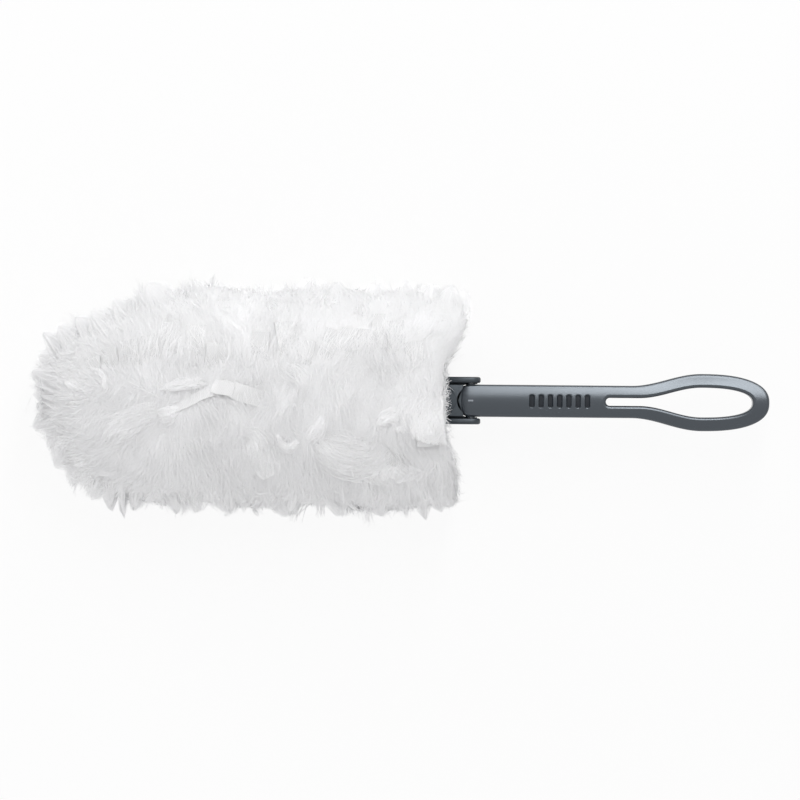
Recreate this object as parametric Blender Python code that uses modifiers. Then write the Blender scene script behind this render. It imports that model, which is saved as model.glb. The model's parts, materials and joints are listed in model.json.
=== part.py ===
"""Folding hand duster with a throwaway fluffy refill, lying on its back on a table.

A moulded handle with a hanging loop turns on a pin between the two ears of a fork.
The fork's prongs sit in two pockets of the refill: a pair of welded sheets that carry
bundles of loose fibre and sheets slit into strips, on the front and on the back.
Everything is laid out from the pin: +X runs out along the handle, +Z is the front.
"""

import math
import random

import bmesh
import bpy
from mathutils import Matrix, Vector

# Overall reach, in metres, measured from the pin
HEAD_REACH = 0.2077
HANDLE_REACH = 0.1423
CORE_HEIGHT = 0.030

# Clearances
FIT_GAP = 0.0003
SWING_GAP = 0.0005

# Handle: strap, hanging loop and rounded nose
STRAP_WIDTH = 0.0154
HANDLE_THICKNESS = 0.0084
CROWN_RADIUS = 0.024
TOP_EDGE_RADIUS = 0.0015
BACK_EDGE_RADIUS = 0.0008
LOOP_WIDTH = 0.0273
LOOP_STRAND = 0.0066
LOOP_END_BAND = 0.0079
SLOT_WIDTH = 0.0037
SLOT_START = 0.0644
SLOT_FLARE_START = 0.0803
RIM_FLARE_START = 0.0765
LOOP_WIDEST = 0.1103
RIM_END_POWER = 2.45
SLOT_END_POWER = 2.4

# Thumb grip: a row of shallow grooves across the strap
GROOVE_COUNT = 7
GROOVE_PITCH = 0.0044
GROOVE_WIDTH = 0.0022
GROOVE_LENGTH = 0.0060
GROOVE_DEPTH = 0.0007
GROOVES_FROM_PIN = 0.0424

# Index mark: a small raised dash over the pin
MARK_LENGTH = 0.0024
MARK_WIDTH = 0.0008
MARK_PROUD = 0.00025

# Pin joint
PIN_RADIUS = 0.0012
BOSS_RADIUS = 0.0023
BOSS_GAP = 0.0007
EAR_THICKNESS = 0.0029
EAR_HEIGHT = 0.0096
LIP_THICKNESS = 0.0011
LIP_STEP_INSET = 0.0018
LIP_STEP_DEPTH = 0.0004
HORN_INSET = 0.0003
EAR_SLOT_DEPTH = 0.0110
BLOCK_LENGTH = 0.0187
BLOCK_TAPER = 0.0040

# Prongs
PRONG_REACH = 0.1677
PRONG_WIDTH = 0.0085
PRONG_GAP = 0.0052
PRONG_THICKNESS = 0.0026
NUB_RADIUS = 0.0016
NUB_PROUD = 0.0008
NUBS_FROM_TIP = (0.018, 0.090)

# Refill: welded sheets
SHEET_THICKNESS = 0.0004
WELD_WIDTH = 0.0045
POCKET_SLOPE = 0.0006
SHEET_MOUTH_GAP = 0.0005
WELDED_LENGTH = 0.1635

# Refill: fibre bundles and slit strips
BACKING_THICKNESS = 0.0020
OUTER_BACKING_RISE = 0.0030
INNER_BACKING_HALF = 0.0120
OUTER_BACKING_HALF = 0.0100
OUTER_BACKING_OVERHANG = 0.0040
TUFT_ROW_COUNT = 20
OUTER_TUFT_COUNT = 5
INNER_TUFT_COUNT = 2
STRIP_COUNT = 18
STRIP_REACH = 0.86
TUFT_FILL = 0.86
TIP_TAPER = 0.55
STRIP_FILL = 0.88
FAN_LOW = math.radians(1.8)
STRIP_ANGLE = math.radians(45.5)
FAN_GAP = math.radians(3.5)

# Shell that the tuft tips reach, seen along the handle and from above
HEAD_WIDTH = 0.1135
FRONT_RISE = 0.0390
BACK_DROP = 0.0345
SHELL_MARGIN = 0.0010
TIP_MARGIN = 0.0032
HEAD_BACK_EDGE_LEFT = -0.0012
HEAD_BACK_EDGE_RIGHT = -0.0062
NOTCH_EDGE = -0.0098
NOTCH_HALF = 0.0125
NOTCH_FLARE = 0.0140
NOSE_LENGTH = 0.054
NOSE_BLUNTNESS = 0.38
TUFT_SEED = 5

# Counts of flats
ROUND_SIDES = 32
PIN_SIDES = 24

# Derived sizes
PIN_X = (HEAD_REACH - HANDLE_REACH) / 2
STRAP_HALF = STRAP_WIDTH / 2
HALF_THICKNESS = HANDLE_THICKNESS / 2
LOOP_HALF = LOOP_WIDTH / 2
SLOT_HALF = SLOT_WIDTH / 2
LOOP_INNER_HALF = LOOP_HALF - LOOP_STRAND
NOSE_RADIUS = STRAP_HALF
EAR_INNER = STRAP_HALF + BOSS_GAP
EAR_OUTER = EAR_INNER + EAR_THICKNESS
EAR_RADIUS = EAR_HEIGHT / 2
SOCKET_RADIUS = NOSE_RADIUS + SWING_GAP
PIN_HOLE_RADIUS = PIN_RADIUS + FIT_GAP
PRONG_INNER = PRONG_GAP / 2
PRONG_OUTER = PRONG_INNER + PRONG_WIDTH
POCKET_HALF_HEIGHT = PRONG_THICKNESS / 2 + FIT_GAP
POCKET_INNER = PRONG_INNER - FIT_GAP
POCKET_OUTER = PRONG_OUTER + NUB_PROUD + FIT_GAP
SHEET_HALF = POCKET_OUTER + POCKET_SLOPE + WELD_WIDTH
WELD_RIGHT = -BLOCK_LENGTH - SHEET_MOUTH_GAP
WELD_LEFT = WELD_RIGHT - WELDED_LENGTH
INNER_BACKING_BASE = POCKET_HALF_HEIGHT + SHEET_THICKNESS + FIT_GAP
INNER_BACKING_TOP = INNER_BACKING_BASE + BACKING_THICKNESS
STRIP_BAND_BASE = INNER_BACKING_TOP + FIT_GAP
STRIP_BAND_TOP = STRIP_BAND_BASE + SHEET_THICKNESS
OUTER_BACKING_BASE = STRIP_BAND_TOP + FIT_GAP

COLOURS = {
    "handle_grey": ((0.250, 0.290, 0.330), 0.42, 0.0),
    "fork_charcoal": ((0.070, 0.080, 0.090), 0.45, 0.0),
    "pin_steel": ((0.600, 0.610, 0.620), 0.30, 1.0),
    "fibre_white": ((0.880, 0.880, 0.885), 0.90, 0.0),
    "strip_white": ((0.830, 0.840, 0.850), 0.80, 0.0),
    "sheet_white": ((0.800, 0.810, 0.820), 0.85, 0.0),
}


def clear_scene():
    for old in list(bpy.data.objects):
        bpy.data.objects.remove(old, do_unlink=True)


def new_collection(name, hidden=False):
    made = bpy.data.collections.new(name)
    bpy.context.scene.collection.children.link(made)
    made.hide_render = hidden
    return made


def material(name):
    found = bpy.data.materials.get(name)
    if found:
        return found
    colour, roughness, metallic = COLOURS[name]
    made = bpy.data.materials.new(name)
    made.use_nodes = True
    shader = made.node_tree.nodes["Principled BSDF"]
    shader.inputs["Base Color"].default_value = (*colour, 1.0)
    shader.inputs["Roughness"].default_value = roughness
    shader.inputs["Metallic"].default_value = metallic
    return made


def body_empty(name, location, collection):
    made = bpy.data.objects.new(name, None)
    made.location = location
    collection.objects.link(made)
    return made


def object_from(bm, name, collection, parent=None, finish=None, smooth_below=None):
    """The finished bmesh as an object, with its faces pointing out."""
    bmesh.ops.recalc_face_normals(bm, faces=bm.faces)
    mesh = bpy.data.meshes.new(name)
    bm.to_mesh(mesh)
    bm.free()
    made = bpy.data.objects.new(name, mesh)
    collection.objects.link(made)
    made.parent = parent
    if finish:
        mesh.materials.append(material(finish))
    if smooth_below:
        mesh.shade_smooth()
        mesh.set_sharp_from_angle(angle=math.radians(smooth_below))
    return made


def cutter_object(bm, name, cutters, parent):
    made = object_from(bm, name, cutters, parent)
    made.hide_render = True
    made.display_type = "WIRE"
    return made


def boolean(target, other, operation):
    modifier = target.modifiers.new(operation.lower() + "_" + other.name, "BOOLEAN")
    modifier.object = other
    modifier.operation = operation
    modifier.solver = "EXACT"


def add_box(bm, low, high):
    size = Vector(high) - Vector(low)
    middle = (Vector(high) + Vector(low)) / 2
    placed = Matrix.Translation(middle) @ Matrix.Diagonal((*size, 1.0))
    bmesh.ops.create_cube(bm, size=1.0, matrix=placed)


def add_cylinder(bm, radius, length, axis, middle=(0.0, 0.0, 0.0), sides=ROUND_SIDES):
    turned = Vector(axis).to_track_quat("Z", "Y").to_matrix().to_4x4()
    bmesh.ops.create_cone(
        bm,
        cap_ends=True,
        segments=sides,
        radius1=radius,
        radius2=radius,
        depth=length,
        matrix=Matrix.Translation(middle) @ turned,
    )


def lerp(a, b, share):
    return a + (b - a) * share


def smooth_step(share):
    share = min(max(share, 0.0), 1.0)
    return 0.5 - 0.5 * math.cos(math.pi * share)


# Handle


def strap_arch(y):
    """Height of the handle's crowned front face above its middle plane."""
    return HALF_THICKNESS - y * y / (2 * CROWN_RADIUS)


def corner_arc(edge, outward, radius, centre_z, start, steps=3):
    """Points round a long edge, from the angle start through a quarter turn."""
    centre = edge - outward * radius
    points = []
    for step in range(steps + 1):
        angle = start - math.pi / 2 * step / steps
        plan = centre + outward * (radius * math.cos(angle))
        points.append(Vector((plan.x, plan.y, centre_z + radius * math.sin(angle))))
    return points


def handle_section(inner, inner_out, outer, outer_out, split):
    """(points over the front, round the outer edge and along the back, points round the slot's edge).

    inner and outer are where the section crosses the slot's wall, or the middle line, and the rim.
    inner_out and outer_out point out of the material there.
    """
    top_radius, back_radius = TOP_EDGE_RADIUS, BACK_EDGE_RADIUS
    start = inner - inner_out * top_radius if split else inner
    finish = outer - outer_out * top_radius
    across = 4
    front = []
    for step in range(across):
        plan = start.lerp(finish, step / across)
        front.append(Vector((plan.x, plan.y, strap_arch(plan.y))))
    rim_top = corner_arc(
        outer, outer_out, top_radius, strap_arch(finish.y) - top_radius, math.pi / 2
    )
    rim_back = corner_arc(
        outer, outer_out, back_radius, -HALF_THICKNESS + back_radius, 0.0
    )
    back_inner = inner - inner_out * back_radius if split else inner
    along = front + rim_top + rim_back
    along.append(Vector((back_inner.x, back_inner.y, -HALF_THICKNESS)))
    if not split:
        return along, []
    slot_back = corner_arc(
        inner, inner_out, back_radius, -HALF_THICKNESS + back_radius, 0.0
    )
    slot_top = corner_arc(
        inner, inner_out, top_radius, strap_arch(start.y) - top_radius, math.pi / 2
    )
    return along, slot_back[-2::-1] + slot_top[:0:-1]


def flared_half_width(x, start, narrow, wide):
    return lerp(narrow, wide, smooth_step((x - start) / (LOOP_WIDEST - start)))


def end_curve(share, reach, half, power):
    """A point on the rounded end, from the widest place (share 0) to the far end (share 1)."""
    turn = share * math.pi / 2
    x = LOOP_WIDEST + (reach - LOOP_WIDEST) * math.sin(turn) ** (2 / power)
    y = half * max(math.cos(turn), 0.0) ** (2 / power)
    return Vector((x, y))


def handle_stations():
    """(inner point, outer point, split) along the +Y half of the handle, from the pin to the far end."""
    slot_centre = SLOT_START + SLOT_HALF
    stations = []
    strap_steps = 4
    for step in range(strap_steps):
        x = (SLOT_START - 2 * TOP_EDGE_RADIUS) * step / (strap_steps - 1)
        stations.append((Vector((x, 0.0)), Vector((x, STRAP_HALF)), False))
    arc_steps = 4
    for step in range(arc_steps):
        angle = math.pi - math.pi / 2 * step / arc_steps
        inner = Vector((slot_centre + SLOT_HALF * math.cos(angle), SLOT_HALF * math.sin(angle)))
        x = lerp(SLOT_START - TOP_EDGE_RADIUS, slot_centre, step / arc_steps)
        if step == 0:
            inner.y = 0.0
        stations.append((inner, Vector((x, STRAP_HALF)), True))
    flare_steps = 15
    for step in range(flare_steps):
        x = lerp(slot_centre, LOOP_WIDEST, step / flare_steps)
        inner = Vector((x, flared_half_width(x, SLOT_FLARE_START, SLOT_HALF, LOOP_INNER_HALF)))
        outer = Vector((x, flared_half_width(x, RIM_FLARE_START, STRAP_HALF, LOOP_HALF)))
        stations.append((inner, outer, True))
    end_steps = 14
    for step in range(end_steps + 1):
        share = step / end_steps
        inner = end_curve(share, HANDLE_REACH - LOOP_END_BAND, LOOP_INNER_HALF, SLOT_END_POWER)
        outer = end_curve(share, HANDLE_REACH, LOOP_HALF, RIM_END_POWER)
        if step == end_steps:
            inner.y = outer.y = 0.0
        stations.append((inner, outer, True))
    return stations


def outward_normals(points, ends, left):
    """Unit normals along a run of plan points, square to it and away from the material."""
    normals = []
    last = len(points) - 1
    for place, _ in enumerate(points):
        along = points[min(place + 1, last)] - points[max(place - 1, 0)]
        across = Vector((-along.y, along.x)) * (1 if left else -1)
        normals.append(across.normalized())
    normals[0], normals[-1] = ends
    return normals


def handle_rings():
    stations = handle_stations()
    first_split = next(place for place, station in enumerate(stations) if station[2])
    inners = [inner for inner, _, split in stations if split]
    outers = [outer for _, outer, _ in stations]
    slot_normals = outward_normals(inners, (Vector((1, 0)), Vector((-1, 0))), left=False)
    rim_normals = outward_normals(outers, (Vector((0, 1)), Vector((1, 0))), left=True)
    rings = []
    for place, (inner, outer, split) in enumerate(stations):
        slot_out = slot_normals[place - first_split] if split else None
        rings.append(handle_section(inner, slot_out, outer, rim_normals[place], split))
    return rings


def skin(bm, first, second):
    for place in range(len(first) - 1):
        bm.faces.new((first[place], first[place + 1], second[place + 1], second[place]))


def handle_half():
    """The +Y half of the handle, open on the middle plane: nose, strap and one strand of the loop."""
    bm = bmesh.new()
    rings = handle_rings()
    nose_steps = 6
    tip = bm.verts.new((-NOSE_RADIUS, 0.0, 0.0))
    before = None
    for step in range(1, nose_steps):
        turn = math.pi / 2 * step / nose_steps
        ring = []
        for point in rings[0][0]:
            flat = (-NOSE_RADIUS * math.cos(turn), point.y * math.sin(turn), point.z * math.sin(turn))
            ring.append(bm.verts.new(flat))
        if before is None:
            for place in range(len(ring) - 1):
                bm.faces.new((tip, ring[place], ring[place + 1]))
        else:
            skin(bm, before, ring)
        before = ring
    slot_before = None
    for along, round_slot in rings:
        ring = [bm.verts.new(point) for point in along]
        slot = [bm.verts.new(point) for point in round_slot]
        slot = [ring[-1], *slot, ring[0]] if slot else None
        skin(bm, before, ring)
        if slot and slot_before:
            skin(bm, slot_before, slot)
        before, slot_before = ring, slot
    return bm


def groove_cutter(cutters, parent):
    """Boxes that cut the thumb grip's row of shallow grooves."""
    bm = bmesh.new()
    first = GROOVES_FROM_PIN - GROOVE_PITCH * (GROOVE_COUNT - 1) / 2
    for place in range(GROOVE_COUNT):
        middle = first + GROOVE_PITCH * place
        add_box(
            bm,
            (middle - GROOVE_WIDTH / 2, -GROOVE_LENGTH / 2, HALF_THICKNESS - GROOVE_DEPTH),
            (middle + GROOVE_WIDTH / 2, GROOVE_LENGTH / 2, HANDLE_THICKNESS),
        )
    bmesh.ops.bevel(
        bm,
        geom=[edge for edge in bm.edges if abs(edge.verts[0].co.z - edge.verts[1].co.z) > GROOVE_DEPTH],
        offset=GROOVE_WIDTH * 0.3,
        segments=2,
        profile=0.5,
        affect="EDGES",
    )
    return cutter_object(bm, "grip_groove_cutter", cutters, parent)


def make_handle(parent, parts, cutters):
    handle = object_from(handle_half(), "handle", parts, parent, "handle_grey")
    mirror = handle.modifiers.new("other_half", "MIRROR")
    mirror.use_axis = (False, True, False)
    mirror.use_clip = True
    mirror.merge_threshold = 0.00005
    bosses = bmesh.new()
    add_cylinder(bosses, BOSS_RADIUS, 2 * (EAR_INNER - FIT_GAP), (0, 1, 0), sides=PIN_SIDES)
    boolean(handle, cutter_object(bosses, "pin_boss_shape", cutters, parent), "UNION")
    mark = bmesh.new()
    add_box(
        mark,
        (-MARK_LENGTH / 2, -MARK_WIDTH / 2, HALF_THICKNESS / 2),
        (MARK_LENGTH / 2, MARK_WIDTH / 2, HALF_THICKNESS + MARK_PROUD),
    )
    boolean(handle, cutter_object(mark, "index_mark_shape", cutters, parent), "UNION")
    hole = bmesh.new()
    add_cylinder(hole, PIN_HOLE_RADIUS, 2 * EAR_OUTER, (0, 1, 0), sides=PIN_SIDES)
    boolean(handle, cutter_object(hole, "handle_pin_hole", cutters, parent), "DIFFERENCE")
    boolean(handle, groove_cutter(cutters, parent), "DIFFERENCE")
    handle.data.shade_smooth()
    handle.data.set_sharp_from_angle(angle=math.radians(40))
    return handle


# Fork


def outline_solid(name, outline, thickness, collection, parent):
    """A flat outline in X and Y given a thickness about Z, as a mesh object."""
    curve = bpy.data.curves.new(name, "CURVE")
    curve.dimensions = "2D"
    curve.fill_mode = "BOTH"
    curve.extrude = thickness / 2
    spline = curve.splines.new("POLY")
    spline.points.add(len(outline) - 1)
    for point, place in zip(spline.points, outline):
        point.co = (place[0], place[1], 0.0, 1.0)
    spline.use_cyclic_u = True
    drawn = bpy.data.objects.new(name + "_outline", curve)
    collection.objects.link(drawn)
    graph = bpy.context.evaluated_depsgraph_get()
    mesh = bpy.data.meshes.new_from_object(drawn.evaluated_get(graph))
    bpy.data.objects.remove(drawn)
    bm = bmesh.new()
    bm.from_mesh(mesh)
    bpy.data.meshes.remove(mesh)
    bmesh.ops.remove_doubles(bm, verts=bm.verts, dist=0.00001)
    return object_from(bm, name, collection, parent)


def arc(centre, radius, start, end, steps):
    points = []
    for step in range(steps + 1):
        angle = lerp(start, end, step / steps)
        points.append((centre[0] + radius * math.cos(angle), centre[1] + radius * math.sin(angle)))
    return points


def ear_profile():
    """Side outline of the fork's block and ears, in X and height, rounded about the pin."""
    root = PRONG_THICKNESS / 2 + FIT_GAP
    outline = arc((0.0, 0.0), EAR_RADIUS, -math.pi / 2, math.pi / 2, 12)
    outline.append((-BLOCK_LENGTH + BLOCK_TAPER, EAR_RADIUS))
    outline.append((-BLOCK_LENGTH, root))
    outline.append((-BLOCK_LENGTH, -root))
    outline.append((-BLOCK_LENGTH + BLOCK_TAPER, -EAR_RADIUS))
    return outline


def prong_outline(side):
    """Plan outline of one prong, rounded at its tip, running into the block at its root."""
    tip_radius = PRONG_WIDTH / 2
    middle = side * (PRONG_INNER + tip_radius)
    tip_centre = (-PRONG_REACH + tip_radius, middle)
    outline = arc(tip_centre, tip_radius, math.pi / 2, 3 * math.pi / 2, 10)
    root = -BLOCK_LENGTH + BLOCK_TAPER
    outline.append((root, middle - tip_radius))
    outline.append((root, middle + tip_radius))
    return outline


def swing_outline():
    """Plan outline of the room between the ears: its closed end follows the folded strap's crown."""
    outline = []
    steps = 16
    for step in range(steps + 1):
        y = lerp(EAR_INNER, -EAR_INNER, step / steps)
        outline.append((-strap_arch(y) - FIT_GAP, y))
    outline.append((2 * EAR_RADIUS, -EAR_INNER))
    outline.append((2 * EAR_RADIUS, EAR_INNER))
    return outline


def socket_cutters(cutters, parent):
    """Room for the nose under the fork's lip, for the folded strap, and slots that free the ears.

    The lip over the nose stops the handle both ways: laid out straight and folded square.
    """
    tall = 2 * EAR_HEIGHT
    horn_half = STRAP_HALF - HORN_INSET
    swing = outline_solid("strap_swing_cutter", swing_outline(), 2 * tall, cutters, parent)
    swing.hide_render = True
    swing.display_type = "WIRE"
    lip_base = EAR_RADIUS - LIP_THICKNESS
    bm = bmesh.new()
    below_lip = (0.0, 0.0, lip_base - tall / 2)
    add_cylinder(bm, SOCKET_RADIUS, tall, (0, 0, 1), below_lip, 2 * ROUND_SIDES)
    round_socket = cutter_object(bm, "socket_cutter", cutters, parent)
    bm = bmesh.new()
    for side in (-1, 1):
        near, far = sorted((side * horn_half, side * EAR_INNER))
        add_box(bm, (-EAR_SLOT_DEPTH, near, -tall), (EAR_RADIUS / 3, far, tall))
    ear_slots = cutter_object(bm, "ear_slot_cutter", cutters, parent)
    bm = bmesh.new()
    lip_top = (0.0, 0.0, EAR_RADIUS)
    add_cylinder(
        bm, SOCKET_RADIUS - LIP_STEP_INSET, 2 * LIP_STEP_DEPTH, (0, 0, 1), lip_top, 2 * ROUND_SIDES
    )
    lip_step = cutter_object(bm, "lip_step_cutter", cutters, parent)
    return swing, round_socket, ear_slots, lip_step


def turn_upright(thing):
    """Stands an outline drawn in X and Y up into X and Z."""
    thing.data.transform(Matrix.Rotation(math.pi / 2, 4, "X"))


def make_fork(parent, parts, cutters):
    fork = outline_solid("fork", ear_profile(), 2 * EAR_OUTER, parts, parent)
    turn_upright(fork)
    fork.data.materials.append(material("fork_charcoal"))
    for cutter in socket_cutters(cutters, parent):
        boolean(fork, cutter, "DIFFERENCE")
    hole = bmesh.new()
    add_cylinder(hole, PIN_HOLE_RADIUS, 4 * EAR_OUTER, (0, 1, 0), sides=PIN_SIDES)
    boolean(fork, cutter_object(hole, "fork_pin_hole", cutters, parent), "DIFFERENCE")
    for side, label in ((1, "left"), (-1, "right")):
        prong = outline_solid(
            label + "_prong_shape", prong_outline(side), PRONG_THICKNESS, cutters, parent
        )
        prong.hide_render = True
        prong.display_type = "WIRE"
        boolean(fork, prong, "UNION")
        nubs = bmesh.new()
        for from_tip in NUBS_FROM_TIP:
            edge = side * (PRONG_OUTER + NUB_PROUD - NUB_RADIUS)
            middle = (-PRONG_REACH + from_tip, edge, 0.0)
            add_cylinder(nubs, NUB_RADIUS, PRONG_THICKNESS * 0.8, (0, 0, 1), middle, sides=16)
        boolean(fork, cutter_object(nubs, label + "_nub_shape", cutters, parent), "UNION")
    return fork


def make_pin(parent, parts):
    bm = bmesh.new()
    add_cylinder(bm, PIN_RADIUS, 2 * (EAR_OUTER - FIT_GAP), (0, 1, 0), sides=PIN_SIDES)
    rims = [edge for edge in bm.edges if abs(edge.verts[0].co.y - edge.verts[1].co.y) < FIT_GAP]
    bmesh.ops.bevel(bm, geom=rims, offset=FIT_GAP, segments=1, affect="EDGES")
    return object_from(bm, "pivot_pin", parts, parent, "pin_steel", smooth_below=35)


# Refill


def make_sheet(name, side, parent, parts):
    """One welded sheet: flat along the seams, raised over the two prongs."""
    seam = FIT_GAP / 2
    half = [
        (POCKET_INNER - POCKET_SLOPE, seam),
        (POCKET_INNER, POCKET_HALF_HEIGHT),
        (POCKET_OUTER, POCKET_HALF_HEIGHT),
        (POCKET_OUTER + POCKET_SLOPE, seam),
        (SHEET_HALF, seam),
    ]
    profile = [(-y, z) for y, z in reversed(half)] + half
    bm = bmesh.new()
    rows = []
    for x in (WELD_LEFT, WELD_RIGHT):
        rows.append([bm.verts.new((x, y, side * z)) for y, z in profile])
    skin(bm, rows[0], rows[1])
    for face in bm.faces:
        if face.normal.z * side < 0:
            face.normal_flip()
    mesh = bpy.data.meshes.new(name)
    bm.normal_update()
    if bm.faces[:][0].normal.z * side < 0:
        bmesh.ops.reverse_faces(bm, faces=bm.faces)
    bm.to_mesh(mesh)
    bm.free()
    sheet = bpy.data.objects.new(name, mesh)
    parts.objects.link(sheet)
    sheet.parent = parent
    mesh.materials.append(material("sheet_white"))
    thick = sheet.modifiers.new("thickness", "SOLIDIFY")
    thick.thickness = SHEET_THICKNESS
    thick.offset = 1.0
    thick.use_even_offset = True
    return sheet


def nose_share(x):
    """How full the head is at x, from NOSE_BLUNTNESS at its tip to 1 past the rounded nose."""
    from_tip = (x + HEAD_REACH) / NOSE_LENGTH
    if from_tip >= 1:
        return 1.0
    rounded = math.sqrt(max(1 - (1 - from_tip) ** 2, 0.0))
    return lerp(NOSE_BLUNTNESS, 1.0, rounded)


def shell_point(along, angle, side):
    """Where a tuft's tip may reach: along from 0 at the tip to 1 at the handle end."""
    rise = SHELL_MARGIN + (FRONT_RISE if side > 0 else BACK_DROP)
    wide = SHELL_MARGIN + HEAD_WIDTH / 2
    reach = 1 / math.hypot(math.cos(angle) / wide, math.sin(angle) / rise)
    y = reach * math.cos(angle)
    z = reach * math.sin(angle)
    back_edge = HEAD_BACK_EDGE_LEFT if y > 0 else HEAD_BACK_EDGE_RIGHT
    edge = lerp(NOTCH_EDGE, back_edge, smooth_step((abs(y) - NOTCH_HALF) / NOTCH_FLARE))
    x = lerp(-HEAD_REACH - TIP_MARGIN, edge, along)
    full = nose_share(x)
    return Vector((x, y * full, side * z * full))


def root_point(along, across, outline, left, right):
    """A place on the backing's edge: across runs from 0 to 1 over the outline's points."""
    place = across * (len(outline) - 1)
    first = min(int(place), len(outline) - 2)
    y, z = Vector(outline[first]).lerp(Vector(outline[first + 1]), place - first)
    return Vector((lerp(left, right, along), y, z))


def tufted_bar(name, finish, section, sides, counts, fill, rings, ends, thickness, parent, parts):
    """A backing bar with a strand grown from every cell of its tufted faces.

    section is the bar's outline in Y and Z. sides lists, for each tufted run of it, the first
    and last corner, and the shell angles that its fan spans. rings are the shares of the way to
    the shell where a strand has a ring of four corners.
    """
    left, right = ends
    cells_along = counts[0]
    bm = bmesh.new()
    rows = []
    for step in range(cells_along + 1):
        x = lerp(left, right, step / cells_along)
        rows.append([bm.verts.new((x, y, z)) for y, z in section])
    bm.faces.new(rows[0])
    bm.faces.new(rows[-1])
    cells = {}
    for step in range(cells_along):
        for corner, _ in enumerate(section):
            after = (corner + 1) % len(section)
            quad = (rows[step][corner], rows[step][after], rows[step + 1][after], rows[step + 1][corner])
            cells[step, corner] = bm.faces.new(quad)
    chance = random.Random(TUFT_SEED)
    for first, last, low_angle, high_angle, side in sides:
        outline = section[first : last + 1]
        for step in range(cells_along):
            for place in range(last - first):
                cell = (step, place, cells_along, last - first)
                grow_strand(
                    bm,
                    cells[step, first + place],
                    cell,
                    (outline, left, right),
                    (low_angle, high_angle, side),
                    fill,
                    rings,
                    thickness,
                    chance,
                )
    return object_from(bm, name, parts, parent, finish)


def grow_strand(bm, face, cell, backing, fan, fill, rings, thickness, chance):
    """Extrudes one cell of the backing out to the shell, one ring of four corners at a time."""
    step, place, cells_along, cells_across = cell
    outline, left, right = backing
    low_angle, high_angle, side = fan
    length = chance.uniform(0.86, 1.0)
    lean_along = chance.uniform(-0.08, 0.08)
    lean_across = chance.uniform(-0.08, 0.08)

    def lattice(u, v, share):
        along = (step + 0.5 + u * 0.5) / cells_along
        across = (place + 0.5 + v * 0.5) / cells_across
        root = root_point(along, across, outline, left, right)
        shell = shell_point(along, lerp(low_angle, high_angle, across), side)
        return root.lerp(shell, share)

    signs = []
    centre = face.calc_center_median()
    ahead = lattice(0, 1, 0) - lattice(0, -1, 0)
    for vert in face.verts:
        offset = vert.co - centre
        signs.append((1 if offset.x > 0 else -1, 1 if offset.dot(ahead) > 0 else -1))
    for share, width in rings:
        grown = bmesh.ops.extrude_discrete_faces(bm, faces=[face])
        face = grown["faces"][0]
        reach = share * length
        for vert, (u, v) in zip(face.verts, signs):
            u_place = u * fill * width + lean_along * share
            v_place = v * fill * width + lean_across * share
            if thickness:
                middle = lattice(u_place, 0, reach)
                tangent = (lattice(0, 1, reach) - lattice(0, -1, reach)).normalized()
                vert.co = middle + tangent * (v * thickness / 2)
            else:
                vert.co = lattice(u_place, v_place, reach)
            vert.co.z = max(vert.co.z, -CORE_HEIGHT)


def arched_section(side):
    """Outline of an outer backing: flat against the strips, arched where the fibres leave it."""
    points = []
    for step in range(OUTER_TUFT_COUNT + 1):
        share = 2 * step / OUTER_TUFT_COUNT - 1
        rise = OUTER_BACKING_RISE * (1 - share * share)
        points.append((-share * OUTER_BACKING_HALF, side * (OUTER_BACKING_BASE + BACKING_THICKNESS / 2 + rise)))
    points.append((-OUTER_BACKING_HALF, side * OUTER_BACKING_BASE))
    points.append((OUTER_BACKING_HALF, side * OUTER_BACKING_BASE))
    return points


def slab_section(half, base, top, cells, side):
    """Outline of a flat backing whose two long edges are tufted: one edge, then the other."""
    edge = [lerp(base, top, step / cells) for step in range(cells + 1)]
    points = [(half, side * z) for z in edge]
    points += [(-half, side * z) for z in reversed(edge)]
    return points


def make_bundles(face, side, parent, parts):
    """The two fibre bundles and the slit strips between them, on the front or on the back."""
    whole = math.pi
    strip_low = STRIP_ANGLE - FAN_GAP
    strip_high = STRIP_ANGLE + FAN_GAP
    tuft_rings = ((0.0, 1.0), (1.0, TIP_TAPER))
    strip_rings = ((0.0, 1.0), (STRIP_REACH, 1.0))
    weld = (WELD_LEFT, WELD_RIGHT)
    tufted_bar(
        face + "_inner_fibres",
        "fibre_white",
        slab_section(INNER_BACKING_HALF, INNER_BACKING_BASE, INNER_BACKING_TOP, INNER_TUFT_COUNT, side),
        (
            (0, INNER_TUFT_COUNT, FAN_LOW, strip_low, side),
            (INNER_TUFT_COUNT + 1, 2 * INNER_TUFT_COUNT + 1, whole - strip_low, whole - FAN_LOW, side),
        ),
        (TUFT_ROW_COUNT, INNER_TUFT_COUNT),
        TUFT_FILL,
        tuft_rings,
        weld,
        None,
        parent,
        parts,
    )
    tufted_bar(
        face + "_strip_sheet",
        "strip_white",
        slab_section(OUTER_BACKING_HALF, STRIP_BAND_BASE, STRIP_BAND_TOP, 1, side),
        (
            (0, 1, STRIP_ANGLE, STRIP_ANGLE, side),
            (2, 3, whole - STRIP_ANGLE, whole - STRIP_ANGLE, side),
        ),
        (STRIP_COUNT, 1),
        STRIP_FILL,
        strip_rings,
        weld,
        SHEET_THICKNESS,
        parent,
        parts,
    )
    tufted_bar(
        face + "_outer_fibres",
        "fibre_white",
        arched_section(side),
        ((0, OUTER_TUFT_COUNT, strip_high, whole - strip_high, side),),
        (TUFT_ROW_COUNT, OUTER_TUFT_COUNT),
        TUFT_FILL,
        tuft_rings,
        (WELD_LEFT, WELD_RIGHT + OUTER_BACKING_OVERHANG),
        None,
        parent,
        parts,
    )


def make_refill(parent, parts):
    make_sheet("front_sheet", 1, parent, parts)
    make_sheet("back_sheet", -1, parent, parts)
    make_bundles("front", 1, parent, parts)
    make_bundles("back", -1, parent, parts)


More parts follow.
